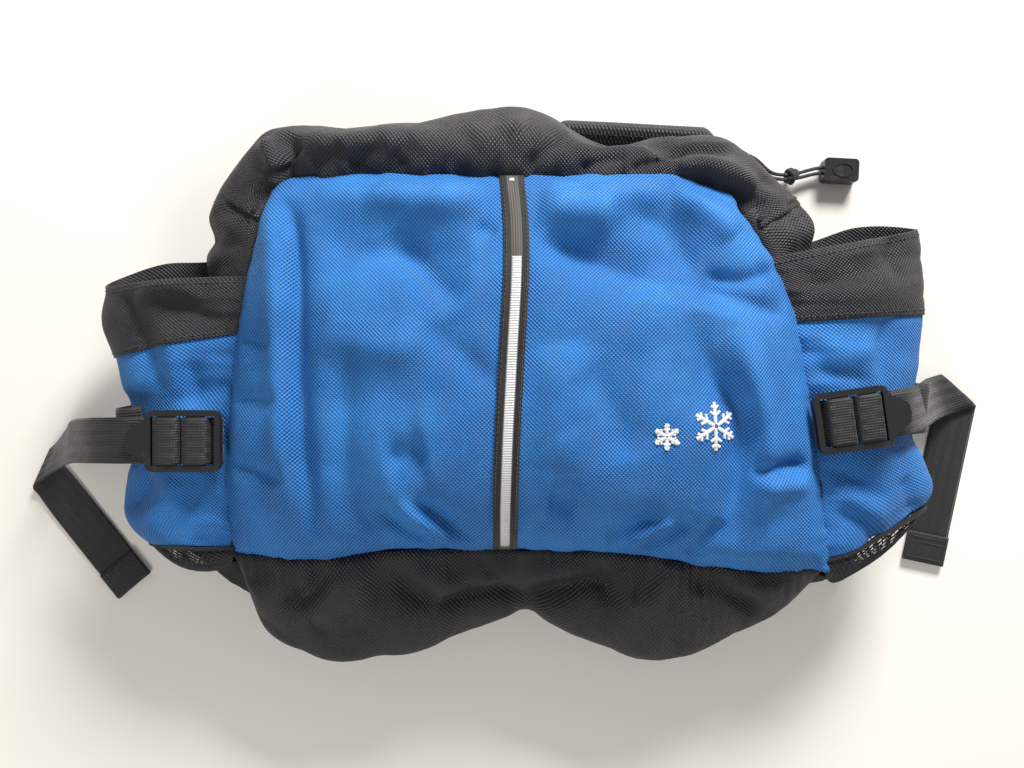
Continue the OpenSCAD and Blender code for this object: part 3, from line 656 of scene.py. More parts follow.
PANEL_FOLDS = [
    # the long crease down the left side, and the softer valley beside it
    (-3.2, 4.5, [[-122, 100], [-114, 81], [-111, 50], [-110, 10], [-108, -30], [-105, -65],
                 [-108, -90]]),
    (1.8, 7, [[-134, 98], [-126, 70], [-123, 20], [-121, -30], [-118, -70]]),
    (-2.4, 9, [[-84, 40], [-85, -5], [-86, -35], [-82, -65], [-64, -84]]),
    # puckers between the crease and the side seam
    (-1.3, 4, [[-150, -8], [-120, -9]]),
    (-1.5, 4, [[-152, -42], [-134, -46], [-118, -53]]),
    (-1.2, 3.5, [[-147, 24], [-124, 20]]),
    # diagonals that run down to the bottom seam
    (-3.0, 4.5, [[-72, -64], [-56, -78], [-42, -88]]),
    (2.0, 5, [[-62, -62], [-44, -76], [-30, -88]]),
    (-2.8, 4.5, [[-52, -60], [-34, -73], [-15, -88]]),
    (-1.8, 9, [[-44, 30], [-24, 14], [-6, -3]]),
    (-2.6, 9, [[-66, -38], [-54, -36], [-44, -34]]),
    (-3.0, 10, [[-62, 82], [-46, 60], [-26, 40]]),
    (2.0, 12, [[-100, 30], [-72, 20], [-40, 22]]),
    (-1.8, 12, [[36, 8], [52, -14], [60, -40]]),
    (1.8, 12, [[20, 20], [26, -10], [22, -44]]),
    (1.6, 9, [[-78, 96], [-40, 94], [-12, 96]]),
    (-1.6, 5, [[-18, 82], [-8, 77]]),
    # the dip that runs under the top seam
    (1.9, 11, [[-104, 97], [-62, 99], [-18, 97]]),
    (-2.6, 15, [[-108, 78], [-68, 68], [-20, 68]]),
    (1.9, 11, [[14, 95], [50, 97], [84, 99]]),
    (-2.6, 15, [[22, 72], [60, 66], [98, 60]]),
    # right of the tape: a lit swell with a dark band under it
    (2.4, 10, [[12, 92], [34, 88], [56, 88]]),
    (-2.8, 9, [[14, 75], [40, 64], [78, 52]]),
    (-3.4, 13, [[52, 96], [78, 84], [98, 58], [96, 38]]),
    (2.0, 8, [[84, 100], [104, 90], [116, 76]]),
    (-2.0, 5, [[100, 58], [122, 55], [142, 62]]),
    (-2.2, 6, [[98, 50], [122, 44], [146, 36]]),
    # the long fold right of the badge, and the small one under the buckle
    (-4.2, 9, [[90, 36], [107, 2], [120, -20], [121, -42], [118, -66], [124, -92]]),
    (2.6, 8, [[116, 30], [126, 0], [134, -30], [134, -70]]),
    (-3.0, 4.5, [[126, -47], [142, -44], [160, -43]]),
    (1.6, 5, [[128, -56], [144, -54], [160, -54]]),
    # puckers along the bottom seam
    (-1.8, 9, [[18, -60], [34, -63]]),
    (-2.4, 4.5, [[50, -84], [64, -74], [80, -70]]),
    (-2.4, 4, [[72, -91], [84, -80], [97, -72]]),
    (-2.2, 4, [[92, -94], [103, -84], [112, -72]]),
    (1.6, 4, [[62, -88], [74, -78], [88, -74]]),
]

FOLD_GAIN = 2.9
PANEL_W, PANEL_H = 320, 205
TAPE_SPAN = 325


def strip_u(v):
    """Where the centre tape runs across the panel, at each v up it."""
    return mix(0.486, 0.5, v)


def crown(u, v):
    """How far the stuffed panel swells, up to 1. Its top falls away more gently than its other sides."""
    top = 0.45
    down = np.where(v < top, np.abs(v / top - 1) ** 3.6, np.abs((v - top) / (1 - top)) ** 2.2)
    return (1 - np.abs(2 * u - 1) ** 3) * (1 - down)


def panel(u, v):
    """A point of the unfolded front panel: a patch stretched between its four edges, with a crown."""
    edges = mix(along(BOTTOM_EDGE, u), along(TOP_EDGE, u), v[..., None])
    edges += mix(along(LEFT_EDGE, v), along(RIGHT_EDGE, v), u[..., None])
    corners = [np.array(e[k], float) for e in (BOTTOM_EDGE, TOP_EDGE) for k in (0, 6)]
    low, high = (mix(corners[k], corners[k + 1], u[..., None]) for k in (0, 2))
    flat = mix(low, high, v[..., None])
    return lift(edges - flat) + (CROWN_Z - RIM_Z) * crown(u, v)[..., None] * UP


def panel_surface(u, v):
    """The folded panel at every u and v of two matching grids."""
    grid = panel(u, v)
    xy = grid[..., :2]
    sides = {"left": u * PANEL_W, "right": (1 - u) * PANEL_W,
             "bottom": v * PANEL_H, "top": (1 - v) * PANEL_H}
    edge = np.minimum.reduce(list(sides.values()))
    height = FOLD_GAIN * folded(xy, PANEL_FOLDS) * (0.3 + 0.7 * ease(edge / 12))
    height += ripples(xy, 60, 0.6, 3) + ripples(xy, 19, 0.1, 4) + crinkles(xy, 80, 0.7, 5)
    from_tape = (u - strip_u(v)) * TAPE_SPAN
    height *= 1 - 0.75 * bell(from_tape, 0, 9)
    height += 3.4 * ease(edge / 18) - 2.6
    height -= 1.6 * bell(from_tape, 0, TAPE_SPAN / 30)
    for number, (side, away) in enumerate(sides.items()):
        place = xy[..., 1 if side in ("left", "right") else 0]
        height += puckers(away, place, 70 + number, 0.15 if side == "top" else 0.45)
    seams = np.exp(-sides["top"] / 14) + np.exp(-sides["bottom"] / 14)
    shift = 0.35 * wave(xy[..., 0], 30, 77) * seams
    lean = np.stack([u * 0.2 - 0.1, v * 0.2 - 0.1, np.ones_like(u)], axis=-1)
    return grid + height[..., None] * unit(lean) + shift[..., None] * AHEAD


def on_panel(x, y):
    """The folded panel's points above x and y, and its normals there."""
    u, v = np.full(np.shape(x), 0.5), np.full(np.shape(x), 0.5)
    for _ in range(12):
        gap = np.stack([x, y], axis=-1) - panel(u, v)[..., :2]
        u = np.clip(u + gap[..., 0] / TAPE_SPAN, 0, 1)
        v = np.clip(v + gap[..., 1] / PANEL_H, 0, 1)
    spot = panel_surface(u, v)
    over = panel_surface(u + 0.004, v) - spot
    up = panel_surface(u, v + 0.006) - spot
    return spot, unit(np.cross(over, up))


def front_panel():
    grid = panel_surface(*np.meshgrid(np.linspace(0, 1, 170), np.linspace(0, 1, 116)))
    piece = rolled(grid, 2.6)
    obj = cloth("front_cloth", piece, WALL, piece[..., :2] * MM)
    dress(obj, BLUE, "pack", ["front_panel"])


front_panel()

CENTRE_TAPE_W = 13
LINE_W = 5
LINE_TOP = 0.72


def strip(name, left, right, v0, v1, height, thick, finish, nodes=()):
    """Tape laid on the folded panel between two distances from its middle line."""
    v = np.linspace(v0, v1, 150)
    middle = panel_surface(strip_u(v), v)
    flat = np.convolve(np.pad(middle[:, 2], 4, "edge"), np.ones(9) / 9, "valid")
    across = np.linspace(left, right, 9)
    drop = np.zeros_like(across)
    drop[[0, -1]] = -0.3
    outer = np.stack([point(middle[:, 0] + a, middle[:, 1], flat + height + d)
                      for a, d in zip(across, drop)], axis=1)
    uv = flat_uv(across, distances(middle))
    return dress(between(name, outer, outer - thick * UP, uv), finish, "pack", nodes)


def centre_tape():
    """The black tape, its paler middle, and the reflective line with its small upper tip."""
    half, line = CENTRE_TAPE_W / 2, LINE_W / 2
    strip("centre_tape_web", -half, half, 0.004, 0.996, 1.8, 1.9, TAPE, ["centre_tape"])
    strip("centre_tape_middle", -line - 0.6, line + 0.6, 0.01, 0.992, 2.05, 0.6, TAUPE)
    strip("reflective_stripe", -line, line, 0.01, LINE_TOP, 2.4, 0.5, SILVER,
          ["reflective_line"])
    strip("reflective_tip", -1.6, 1.2, 0.965, 0.985, 2.45, 0.5, SILVER)
    v = np.linspace(0.01, 0.99, 120)
    middle = panel_surface(strip_u(v), v)
    for side, sign in (("left", -1), ("right", 1)):
        row = middle + np.array([sign * (half - 1.1), 0, 1.85])
        sew(f"tape_stitches_{side}", row, UP, 2.6, 0.2)


centre_tape()


def satin(start, end, width, place):
    """A column of satin stitch from start to end, in the panel's plane around a place."""
    start, end = np.array(start, float), np.array(end, float)
    ahead = unit(end - start)
    side = np.array([-ahead[1], ahead[0]])
    parts = []
    for t in np.arange(0, np.linalg.norm(end - start), 0.42):
        span = width * (0.72 + 0.28 * min(t / 1.5, 1))
        ends = [start + ahead * (t + 0.16 * k) + side * span * k / 2 for k in (-1, -0.4, 0.4, 1)]
        xy = np.array(ends) + place
        spot, out = on_panel(xy[:, 0], xy[:, 1])
        parts.append(tube_parts(spot + out * np.array([0.0, 0.62, 0.62, 0.0])[:, None], 0.27, 5))
    return parts


def front_badge():
    """A generic six-armed snow crystal, large, with a small one beside it."""
    parts = []
    for place, size in ((np.array([105.0, -22.0]), 12.5), (np.array([79.0, -27.0]), 7.0)):
        for k in range(6):
            turn = math.radians(60 * k + 30)
            arm = np.array([math.cos(turn), math.sin(turn)])
            parts += satin(arm * size * 0.1, arm * size, 1.9, place)
            for share, reach in ((0.45, 0.3), (0.72, 0.22)):
                for lean in (-55, 55):
                    tip = math.radians(lean) + turn
                    root = arm * size * share
                    twig = size * reach * np.array([math.cos(tip), math.sin(tip)])
                    parts += satin(root, root + twig, 1.3, place)
    dress(joined("crystal_embroidery", parts), WHITE_THREAD, "pack", ["front_badge"])


front_badge()

# ---------------------------------------------------------------- black cloth round the mouth

TOP_FOLDS = [
    (-6.5, 5, [[-125, 108], [-121, 120], [-116, 134]]),
    (3.5, 5, [[-136, 134], [-130, 124], [-127, 112]]),
    (2.6, 7, [[-112, 136], [-96, 129], [-70, 130], [-40, 134]]),
    (-2.4, 4, [[-106, 113], [-98, 120], [-90, 127]]),
    (-2.6, 4, [[-86, 113], [-79, 121], [-66, 129]]),
    (-2.2, 4, [[-58, 113], [-60, 121], [-52, 130]]),
    (-1.8, 4, [[-36, 113], [-28, 124], [-20, 136]]),
    (2.4, 7, [[-20, 124], [-4, 136], [8, 134]]),
    (-3.0, 5, [[6, 113], [18, 124], [30, 134]]),
    (-2.2, 4, [[36, 113], [46, 118], [62, 121]]),
    (-6.0, 6, [[72, 125], [88, 128], [104, 128], [119, 125]]),
    (4.0, 6, [[86, 117], [104, 120], [122, 112], [146, 97]]),
    (-2.4, 3.5, [[62, 113], [72, 117], [84, 118]]),
    (-2.4, 4, [[124, 100], [132, 106], [141, 114]]),
]
# each corner: points along its front seam, points along its foot, and how far it bulges between them;
# a foot with no Y stands on the zip
CORNER_LEFT = ([[-138, 95, 71], [-134, 105, 73], [-127, 110.5, 76], [-119.5, 113.5, 79]],
               [[-154, 104, 32], [-146, 122, 36], [-134, 133, 43], [-119.5, None, LIP_BASE]],
               [18, 16, 18, 17])
CORNER_RIGHT = ([[81.5, 113.5, 81], [100, 111.5, 78], [119, 105, 74.5], [128, 94, 71.5]],
                [[81.5, None, LIP_BASE], [107, None, LIP_BASE + 0.5], [136.5, None, LIP_BASE + 0.5],
                 [156, 101, 32]], [15.5, 16, 15, 20])

SEAM_DEPTH = 3


def gusset(front, back, out, bulge, t):
    """A cloth between a front seam and the back panel's edge, standing out by a bulge."""
    a, b = (front - SEAM_DEPTH * UP)[:, None], back[:, None]
    stands = bulge[:, None] * np.sin(math.pi * t) ** 0.8
    return mix(a, b, t[None, :, None]) + out[:, None] * stands[..., None]


def side_out(p):
    return unit(point(p[:, 0], 0.9 * np.maximum(p[:, 1], 0), 0))


def side_bulge(v):
    return mix(12, 30, ease((v - 0.55) / 0.35))


def side_sections(edge, back, v, t):
    """The plain surface of one side, from the front panel's seam to the back panel."""
    a, b = lift(along(edge, v)), raised(along(back, v))
    return gusset(a, b, side_out(a + b), side_bulge(v), t)


def sunk(x):
    """Where the ridge has sunk in behind the zip's right half."""
    return bell(x, 54, 22)


def ridge_y(x):
    """How far the ridge of cloth over the zip stands out."""
    return 141 + 12 * bell(x, -6, 36) - 3 * ease((x - 30) / 60) - 11 * sunk(x)


def lip_sections(x, t):
    """The ridge over the zip, from the front panel's top seam over to the zip's tape."""
    foot = zip_point(x, LIP_BASE)
    y, one, low = ridge_y(x), np.ones_like(x), 7 * sunk(x)
    return through([
        point(x, HINGE_Y - 5, HINGE_Z - 5.5), point(x, 118 * one, HINGE_Z + 1.8 - low / 2),
        point(x, mix(127.5, y, 0.1), HINGE_Z + 2.5 - low), point(x, y - 4, HINGE_Z - 8 - low),
        point(x, y, HINGE_Z - 20), point(x, y - 7, foot[:, 2] + 6),
        point(foot[:, 0], foot[:, 1] + 3, foot[:, 2] + 1), foot], t)


def corner_sections(corner, s, t):
    """One of the mouth's closed ends, from its front seam to its foot."""
    fronts, feet, bulges = corner
    feet = [p if p[1] is not None else zip_point(p[0], p[2]).tolist() for p in feet]
    a, b = along(fronts, s) - 1.5 * UP, along(feet, s)
    k = along([[v] for v in bulges], s)
    out = unit(point(a[:, 0] * 0.5, 1.4 * a[:, 1], 0))
    m = (a + b) / 2
    return through([
        a - out * 5 - 3 * UP, a + out * 6 + 3.5 * UP,
        point(m[:, 0], m[:, 1], a[:, 2] - 4) + out * (k - 1),
        point(m[:, 0], m[:, 1], b[:, 2] + 12) + out * k, b], t)


def smoothed(grid, reach, rounds=3):
    """The grid averaged along its rows' direction, with its first and last rows kept."""
    window = 2 * reach + 1
    number = np.arange(len(grid))
    hold = ease(np.minimum(number, number[::-1]) / (2.0 * reach))[:, None, None]
    for _ in range(rounds):
        padded = np.concatenate([np.repeat(grid[:1], reach, 0), grid, np.repeat(grid[-1:], reach, 0)])
        total = np.cumsum(np.concatenate([np.zeros_like(padded[:1]), padded]), axis=0)
        grid = mix(grid, (total[window:] - total[:-window]) / window, hold)
    return grid


def set_blend(obj):
    """Leaves a piece with no parent and bakes its place into its mesh."""
    obj.parent = None
    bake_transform(obj)


def blend_by_place(obj):
    """Leaves a piece with no parent and bakes its place into its mesh, as set_blend does."""
    set_blend(obj)


def seam_overlap(edge, back, v, t):
    """The side's surface, a little further out, where the end of the mouth's cloth lies over it."""
    out = side_out(lift(along(edge, v)) + raised(along(back, v)))
    return side_sections(edge, back, v, t) + 1.9 * out[:, None]


def mouth_cloth():
    """One length of black cloth from the left corner over the zip to the right corner."""
    t = np.linspace(0, 1, 46)
    xs = np.linspace(LIP_LEFT, LIP_RIGHT, 110)
    end_left, end_right = np.linspace(0.885, 0.93, 8), np.linspace(0.93, 0.885, 8)
    grid = np.concatenate([
        seam_overlap(LEFT_EDGE, BACK_LEFT, end_left, t),
        corner_sections(CORNER_LEFT, np.linspace(0.3, 0.985, 16), t),
        lip_sections(xs, t),
        corner_sections(CORNER_RIGHT, np.linspace(0.02, 0.72, 26), t),
        seam_overlap(RIGHT_EDGE, BACK_RIGHT, end_right, t)])
    grid = smoothed(grid, 4)
    down = np.ones((len(grid), 1)) * t
    n = normals(grid)
    faces_up = ease((n[..., 2] + 0.2) / 0.5)
    place = np.stack([grid[..., 0], 90 * down], axis=-1)
    height = 1.5 * folded(grid[..., :2], TOP_FOLDS) * faces_up * ease(down / 0.05)
    height += ripples(place, 55, 0.8, 8) + ripples(place, 16, 0.12, 9) + crinkles(place, 60, 0.9, 10)
    height *= 0.25 + 0.75 * ease((1 - down) / 0.12)
    height += puckers(down * 90, grid[..., 0], 81, 0.9, 11)
    grid = grid + n * height[..., None]
    obj = cloth("mouth_cloth", grid, WALL)
    dress(obj, BLACK, None, ["mouth_lip", "top_corner_left", "top_corner_right"])
    set_blend(obj)
    foot = grid[:, -1, 0]
    keep = (foot > LIP_LEFT) & (foot < LIP_RIGHT)
    out = n[keep, -3]
    blend_by_place(sew("lip_stitches", grid[keep, -3] + out * 0.2, out, body=None))


mouth_cloth()

REAR_SWELL = 21.5


def rear_lip():
    """The back's own strip of cloth, which swells out behind the zip where the ridge has sunk."""
    x = np.linspace(LIP_LEFT - 6, ZIP_RIGHT + 4, 100)
    back = along(BACK_TOP, np.clip((x + 124) / 246, 0, 1))
    foot = zip_point(x, ZIP_LOW)
    swell = 0.8 + REAR_SWELL * ease((x - 6) / 26) * ease((132 - x) / 22)
    y = foot[:, 1]
    grid = through([
        point(x, back[:, 1] - 8, BACK_Z + 2.2), point(x, back[:, 1] + 4, BACK_Z + 0.8),
        point(x, y + swell * 0.6, BACK_Z + 1.0), point(x, y + swell, BACK_Z + 4 + swell * 0.15),
        point(x, y + swell * 0.75, BACK_Z + 6 + swell * 0.3), point(x, y + 0.8, BACK_Z + 4.5)],
        np.linspace(0, 1, 26))
    grid[..., 2] += ripples(grid[..., :2], 40, 0.3, 12)
    inside = np.array([0, 60, 45.0])
    obj = cloth("rear_strip", grid, 1.2, away_from=inside)
    dress(obj, BLACK, "pack", ["rear_lip"])
    seam = 21
    sew("rear_strip_stitches", grid[:, seam], normals(grid, inside)[:, seam], 3.0, 0.2)


rear_lip()

# ---------------------------------------------------------------- zip


def zip_tape(name, x0, x1, z0, width, node, opens=False):
    """Flat tape in the zip's upright plane, from x0 to x1 and up from z0."""
    x = np.linspace(x0, x1, max(int((x1 - x0) / 2), 8))
    grid = np.stack([zip_point(x, z0 + width * k, 0.4) for k in np.linspace(0, 1, 5)], axis=1)
    obj = between(name, grid, grid - np.array([0, 0.8, 0]))
    dress(obj, ZIP, None if opens else "pack", [node])
    if opens:
        set_blend(obj)


COIL_PITCH = 1.45
WIRE_R = 0.36


def zip_coil(name, x0, x1, z0, shift, node, opens=False):
    """A coil of monofilament: one turn for each tooth."""
    turn = np.arange(0, (x1 - x0 - COIL_PITCH) / COIL_PITCH * 2 * math.pi, 2 * math.pi / 11)
    x = x0 + 0.6 + turn * COIL_PITCH / (2 * math.pi) + shift
    x = np.minimum(x, x1 - 0.4)
    path = zip_point(x, z0 + COIL_W / 2 + 1.15 * np.sin(turn), 1.05 * np.cos(turn))
    body = None if opens else "pack"
    obj = dress(tube(name, path, WIRE_R, 5), COIL, body, [node])
    if opens:
        blend_by_place(obj)


zip_tape("lip_tape", LIP_LEFT, LIP_RIGHT, ZIP_Z + COIL_W - 0.6, TAPE_W + 0.9, "zip_tape_lip", True)
zip_coil("lip_coil", LIP_LEFT, LIP_RIGHT, ZIP_Z, 0.0, "zip_coil_lip", True)
zip_tape("rear_tape", LIP_LEFT, ZIP_RIGHT, ZIP_LOW, TAPE_W + 0.6, "zip_tape_rear")
zip_coil("rear_coil", LIP_LEFT, ZIP_RIGHT, ZIP_Z - COIL_W, 0.7, "zip_coil_rear")
zip_tape("closed_end_tape", LIP_RIGHT + 1.5, ZIP_RIGHT, ZIP_Z + COIL_W + PART_GAP - 0.5,
         TAPE_W - PART_GAP + 0.8, "zip_tape_closed_end")
zip_coil("closed_end_coil", LIP_RIGHT + 1.5, ZIP_RIGHT, ZIP_Z + PART_GAP, 0.0, "zip_coil_closed_end")

# ---------------------------------------------------------------- gussets

BOTTOM_FOLDS = [
    (-4.6, 5, [[-98, -94], [-108, -112], [-119, -122], [-131, -128]]),
    (3.6, 9, [[-82, -94], [-92, -112], [-112, -134]]),
    (-4.4, 6, [[-68, -96], [-57, -116], [-43, -124]]),
    (2.6, 7, [[-54, -98], [-40, -110], [-24, -112]]),
    (-4.8, 4, [[-44, -125], [-26, -119], [-7, -116], [10, -119]]),
    (-4.6, 5, [[4, -121], [20, -117], [40, -111], [52, -113], [60, -128]]),
    (2.4, 6, [[6, -106], [24, -103], [44, -101]]),
    (-3.4, 4, [[82, -97], [74, -110], [67, -123]]),
    (2.6, 5, [[90, -98], [86, -112], [80, -128]]),
    (-3.2, 4, [[101, -99], [104, -108], [103, -118]]),
    (-3.4, 5, [[111, -101], [120, -115], [138, -125]]),
    (2.4, 7, [[126, -106], [134, -114], [150, -116]]),
    (-2.2, 4, [[-130, -97], [-138, -106], [-146, -112]]),
    (-1.8, 3.5, [[-20, -93], [-14, -102], [-10, -108]]),
    (-1.8, 3.5, [[58, -94], [52, -102], [48, -108]]),
]

# how far the bottom stands out, as [place along its seam, bulge]: two lobes with a notch between them
BOTTOM_PROFILE = [[0.004, 5], [0.05, 32], [0.115, 45], [0.2, 51.5], [0.31, 49], [0.41, 40],
                  [0.485, 29], [0.52, 25], [0.56, 32], [0.63, 43], [0.71, 50], [0.77, 49],
                  [0.84, 38], [0.92, 27], [0.97, 16], [0.996, 5]]
FOLD_LIMIT = 3.4


def bottom_gusset():
    stations = along(BOTTOM_PROFILE, np.linspace(0, 1, 190))
    u, bulge, t = stations[:, 0], stations[:, 1], np.linspace(0, 1, 50)
    out = np.broadcast_to(-AHEAD, (len(u), 3))
    grid = gusset(lift(along(BOTTOM_EDGE, u)), raised(along(BACK_BOTTOM, u)), out, bulge, t)
    n = normals(grid)
    down = np.ones((len(u), 1)) * t
    place = np.stack([grid[..., 0], 90 * down], axis=-1)
    up = ease((n[..., 2] - 0.04) / 0.45)
    height = 1.7 * folded(grid[..., :2], BOTTOM_FOLDS) * up * (0.35 + 0.65 * ease(down / 0.1))
    uneven = ripples(place, 46, 0.8, 21) + crinkles(place, 60, 1.2, 24)
    height += uneven * ease(down / 0.1) * (0.2 + 0.8 * up)
    height += ripples(place, 15, 0.12, 22)
    height += puckers(down * 90, grid[..., 0], 23, 1.0, 12)
    height *= ease(np.minimum(u, 1 - u) * 14)[:, None] * ease((1 - down) / 0.1)
    height = np.where(height > 0, FOLD_LIMIT * np.tanh(height / FOLD_LIMIT), height)
    grid = grid + n * height[..., None]
    obj = dress(cloth("bottom_cloth", grid, WALL), BLACK, "pack", ["bottom_gusset"])


bottom_gusset()


def side_gusset(side, edge, back, seed, pocket_top):
    """A side of the pack. It is sunk where the pocket covers it, and puffs out above the pocket."""
    v, t = np.linspace(0.02, 0.93, 120), np.linspace(0, 1, 36)
    grid = side_sections(edge, back, v, t)
    n = normals(grid)
    down = np.ones((len(v), 1)) * t
    place = np.stack([grid[..., 1], 70 * down], axis=-1)
    height = ripples(place, 26, 0.9, seed) + ripples(place, 12, 0.3, seed + 1)
    puff = bell(v, 0.86, 0.05)[:, None] * np.sin(math.pi * t)
    height = height * ease(np.minimum(down, 1 - down) / 0.12) + 3.0 * puff
    height -= 3.2 * bell(v, 0.79, 0.022)[:, None] * np.sin(math.pi * t)
    covered = ease((pocket_top - 0.03 - v) / 0.06)[:, None]
    covered = covered * ease(down / 0.025) * ease((1 - down) / 0.05)
    height = mix(height, -5.0, covered)
    grid = grid + n * height[..., None]
    obj = cloth(f"side_cloth_{side}", grid, WALL)
    dress(obj, BLACK, "pack", [f"side_gusset_{side}"])


def piping(side, edge, back):
    """The covered cord in the seam between a side and the mouth's cloth, and the stitching beside it."""
    v, t = np.array([0.895, 0.9, 0.905]), np.linspace(0.02, 0.96, 60)
    grid = side_sections(edge, back, v, t)
    out = side_out(grid[1])
    line = grid[1] + out * 1.5
    covered = tube(f"piping_cord_{side}", line, 1.5, 10)
    no_uv(covered)
    dress(covered, BLACK, "pack", [f"piping_{side}"])
    lower = side_sections(edge, back, np.array([0.86, 0.868, 0.876]), t)[1]
    sew(f"piping_stitches_{side}", lower + out * 3.4, out)


side_gusset("left", LEFT_EDGE, BACK_LEFT, 31, 0.71)
side_gusset("right", RIGHT_EDGE, BACK_RIGHT, 41, 0.8)
piping("left", LEFT_EDGE, BACK_LEFT)
piping("right", RIGHT_EDGE, BACK_RIGHT)

# ---------------------------------------------------------------- side pockets

LEFT_FOLDS = [
    (-2.6, 5, [[-173, 14], [-172, 0], [-173, -14]]),
    (-2.2, 5, [[-206, 30], [-196, 14], [-190, -6]]),
    (1.8, 6, [[-190, 34], [-184, 14], [-182, -8]]),
    (-2.8, 5, [[-168, -50], [-176, -66], [-190, -86]]),
    (2.0, 6, [[-184, -50], [-192, -66], [-204, -80]]),
    (-2.6, 4.5, [[-196, -48], [-206, -60], [-216, -72]]),
    (-2.2, 4, [[-162, -60], [-166, -76], [-176, -92]]),
    (-2.4, 5, [[-160, 34], [-176, 40], [-196, 42]]),
    (2.0, 5, [[-166, 48], [-186, 52], [-210, 46]]),
    (-2.0, 4, [[-214, 50], [-206, 36], [-204, 24]]),
]
RIGHT_FOLDS = [
    (-2.8, 5, [[163, 10], [178, 4], [196, 2]]),
    (2.2, 6, [[164, 22], [182, 18], [204, 20]]),
    (-2.4, 5, [[206, 36], [202, 14], [208, -4]]),
    (-3.0, 5, [[171, -46], [188, -52], [204, -64]]),
    (2.2, 6, [[173, -58], [190, -64], [206, -78]]),
    (-2.6, 4.5, [[176, -70], [190, -76], [202, -90]]),
    (-2.6, 4.5, [[216, -50], [220, -62], [226, -74]]),
    (-2.2, 4.5, [[156, 52], [176, 56], [200, 64]]),
    (1.8, 5, [[154, 64], [176, 68], [204, 76]]),
    (-2.0, 4, [[212, 84], [208, 70], [212, 54]]),
]


class Pocket:
    """One side pocket: v runs from its bottom to its mouth, s from its front seam to its back one."""

    def __init__(self, side, edge, top, out, seam, folds, seed, strap, net):
        self.side, self.edge, self.top, self.out, self.seam = side, edge, top, out, seam
        self.folds, self.seed, self.strap, self.net = folds, seed, strap, net

    def plain(self, v, s):
        """The pocket's surface without folds. Its front seam is tucked in under the panel's edge."""
        sign = np.sign(self.out[0][0])
        tuck = np.array([-sign * 4.0, 0, -3.2])
        front = lift(along(self.edge, mix(0.03, self.top, v))) + tuck
        o, b = along(self.out, v), along(self.seam, v)
        high = point(mix(front[:, 0], o[:, 0], 0.55), mix(front[:, 1], o[:, 1], 0.5), front[:, 2] + 2.5)
        low = point(mix(o[:, 0], b[:, 0], 0.5), mix(o[:, 1], b[:, 1], 0.5), 34)
        slant = MOUTH_SLANT * np.outer(v, s) + 7 * np.outer(ease((v - 0.7) / 0.3), bell(s, 0.72, 0.16))
        return through([front, high, o, low, b], s) + slant[..., None] * AHEAD

    def middle(self):
        return np.array([np.sign(self.out[0][0]) * 192, 0, 50.0])

    def grid(self, v, s):
        """The folded surface and its normals. The strap holds the cloth flat where it crosses."""
        plain = self.plain(v, s)
        n = normals(plain, self.middle())
        xy = plain[..., :2]
        up = ease((n[..., 2] + 0.1) / 0.5)
        place = np.stack([80 * s[None, :] * np.ones((len(v), 1)), plain[..., 1]], axis=-1)
        height = 1.4 * folded(xy, self.folds) * up + ripples(place, 34, 0.8, self.seed)
        height += ripples(place, 13, 0.14, self.seed + 1) + crinkles(place, 60, 0.9, self.seed + 3)
        height += puckers(place[..., 0], plain[..., 1], self.seed + 2, 0.8, 9)
        low, high = self.strap
        under = ease((v - low + 0.07) / 0.06) * ease((high + 0.07 - v) / 0.06)
        held = 1 - under[:, None] * ease((s[None, :] - 0.2) / 0.15)
        height = height * held - 0.9 * (1 - held)
        height *= ease(s[None, :] / 0.05) * ease((1 - s[None, :]) / 0.06)
        return plain + n * height[..., None], n

    def above_net(self, grid, v, s, rows):
        """The grid's columns cut off where the net begins, which is higher round the outer side."""
        low = self.net * bell(s, 0.5, 0.24)
        stops = [mix(start, v[-1], np.linspace(0, 1, rows)) for start in low]
        cut = [[np.interp(stop, v, grid[:, j, k]) for k in range(3)] for j, stop in enumerate(stops)]
        return np.array(cut).transpose(2, 0, 1)

    def build(self):
        s = np.linspace(0, 1, 84)
        v = np.linspace(0, BAND_V + 0.01, 92)
        grid = self.above_net(self.grid(v, s)[0], v, s, 84)
        wall = cloth(f"pocket_cloth_{self.side}", grid, POCKET_T, away_from=self.middle())
        dress(wall, BLUE, "pack", [f"pocket_wall_{self.side}"])
        self.band(s)
        self.stitching(s)

    def band(self, s):
        """A doubled band of black cloth round the mouth, its upper edge turned over."""
        v = np.linspace(BAND_V - 0.012, 1, 34)
        grid, n = self.grid(v, s)
        swell = 1.1 + 0.9 * np.sin(math.pi * np.linspace(0, 1, len(v)))[:, None]
        outer = grid + n * swell[..., None]
        inner = grid - n * 0.9
        beyond = outer[-1] - outer[-2]
        turned = [outer[-1] + beyond * 0.35 - n[-1] * 0.5, outer[-1] + beyond * 0.4 - n[-1] * 1.4]
        outer = np.concatenate([outer, turned])
        inner = np.concatenate([inner, [inner[-1]] * 2])
        obj = between(f"pocket_hem_{self.side}", outer, inner)
        dress(obj, BLACK, "pack", [f"pocket_band_{self.side}"])

    def stitching(self, s):
        for name, v, height in (("low", BAND_V + 0.004, 1.5), ("rim", 0.975, 1.6)):
            grid, n = self.grid(np.array([v - 0.01, v, v + 0.01]), s)
            line = grid[1] + n[1] * height
            sew(f"pocket_{name}_stitches_{self.side}", line, n[1], 2.9, 0.24)


LEFT_STRAP, RIGHT_STRAP = (0.40, 0.565), (0.40, 0.55)
LEFT_POCKET = Pocket("left", LEFT_EDGE, 0.71, OUT_LEFT, SEAM_LEFT, LEFT_FOLDS, 51, LEFT_STRAP, 0.02)
RIGHT_POCKET = Pocket("right", RIGHT_EDGE, 0.8, OUT_RIGHT, SEAM_RIGHT, RIGHT_FOLDS, 61, RIGHT_STRAP,
                      0.17)
LEFT_POCKET.build()
RIGHT_POCKET.build()


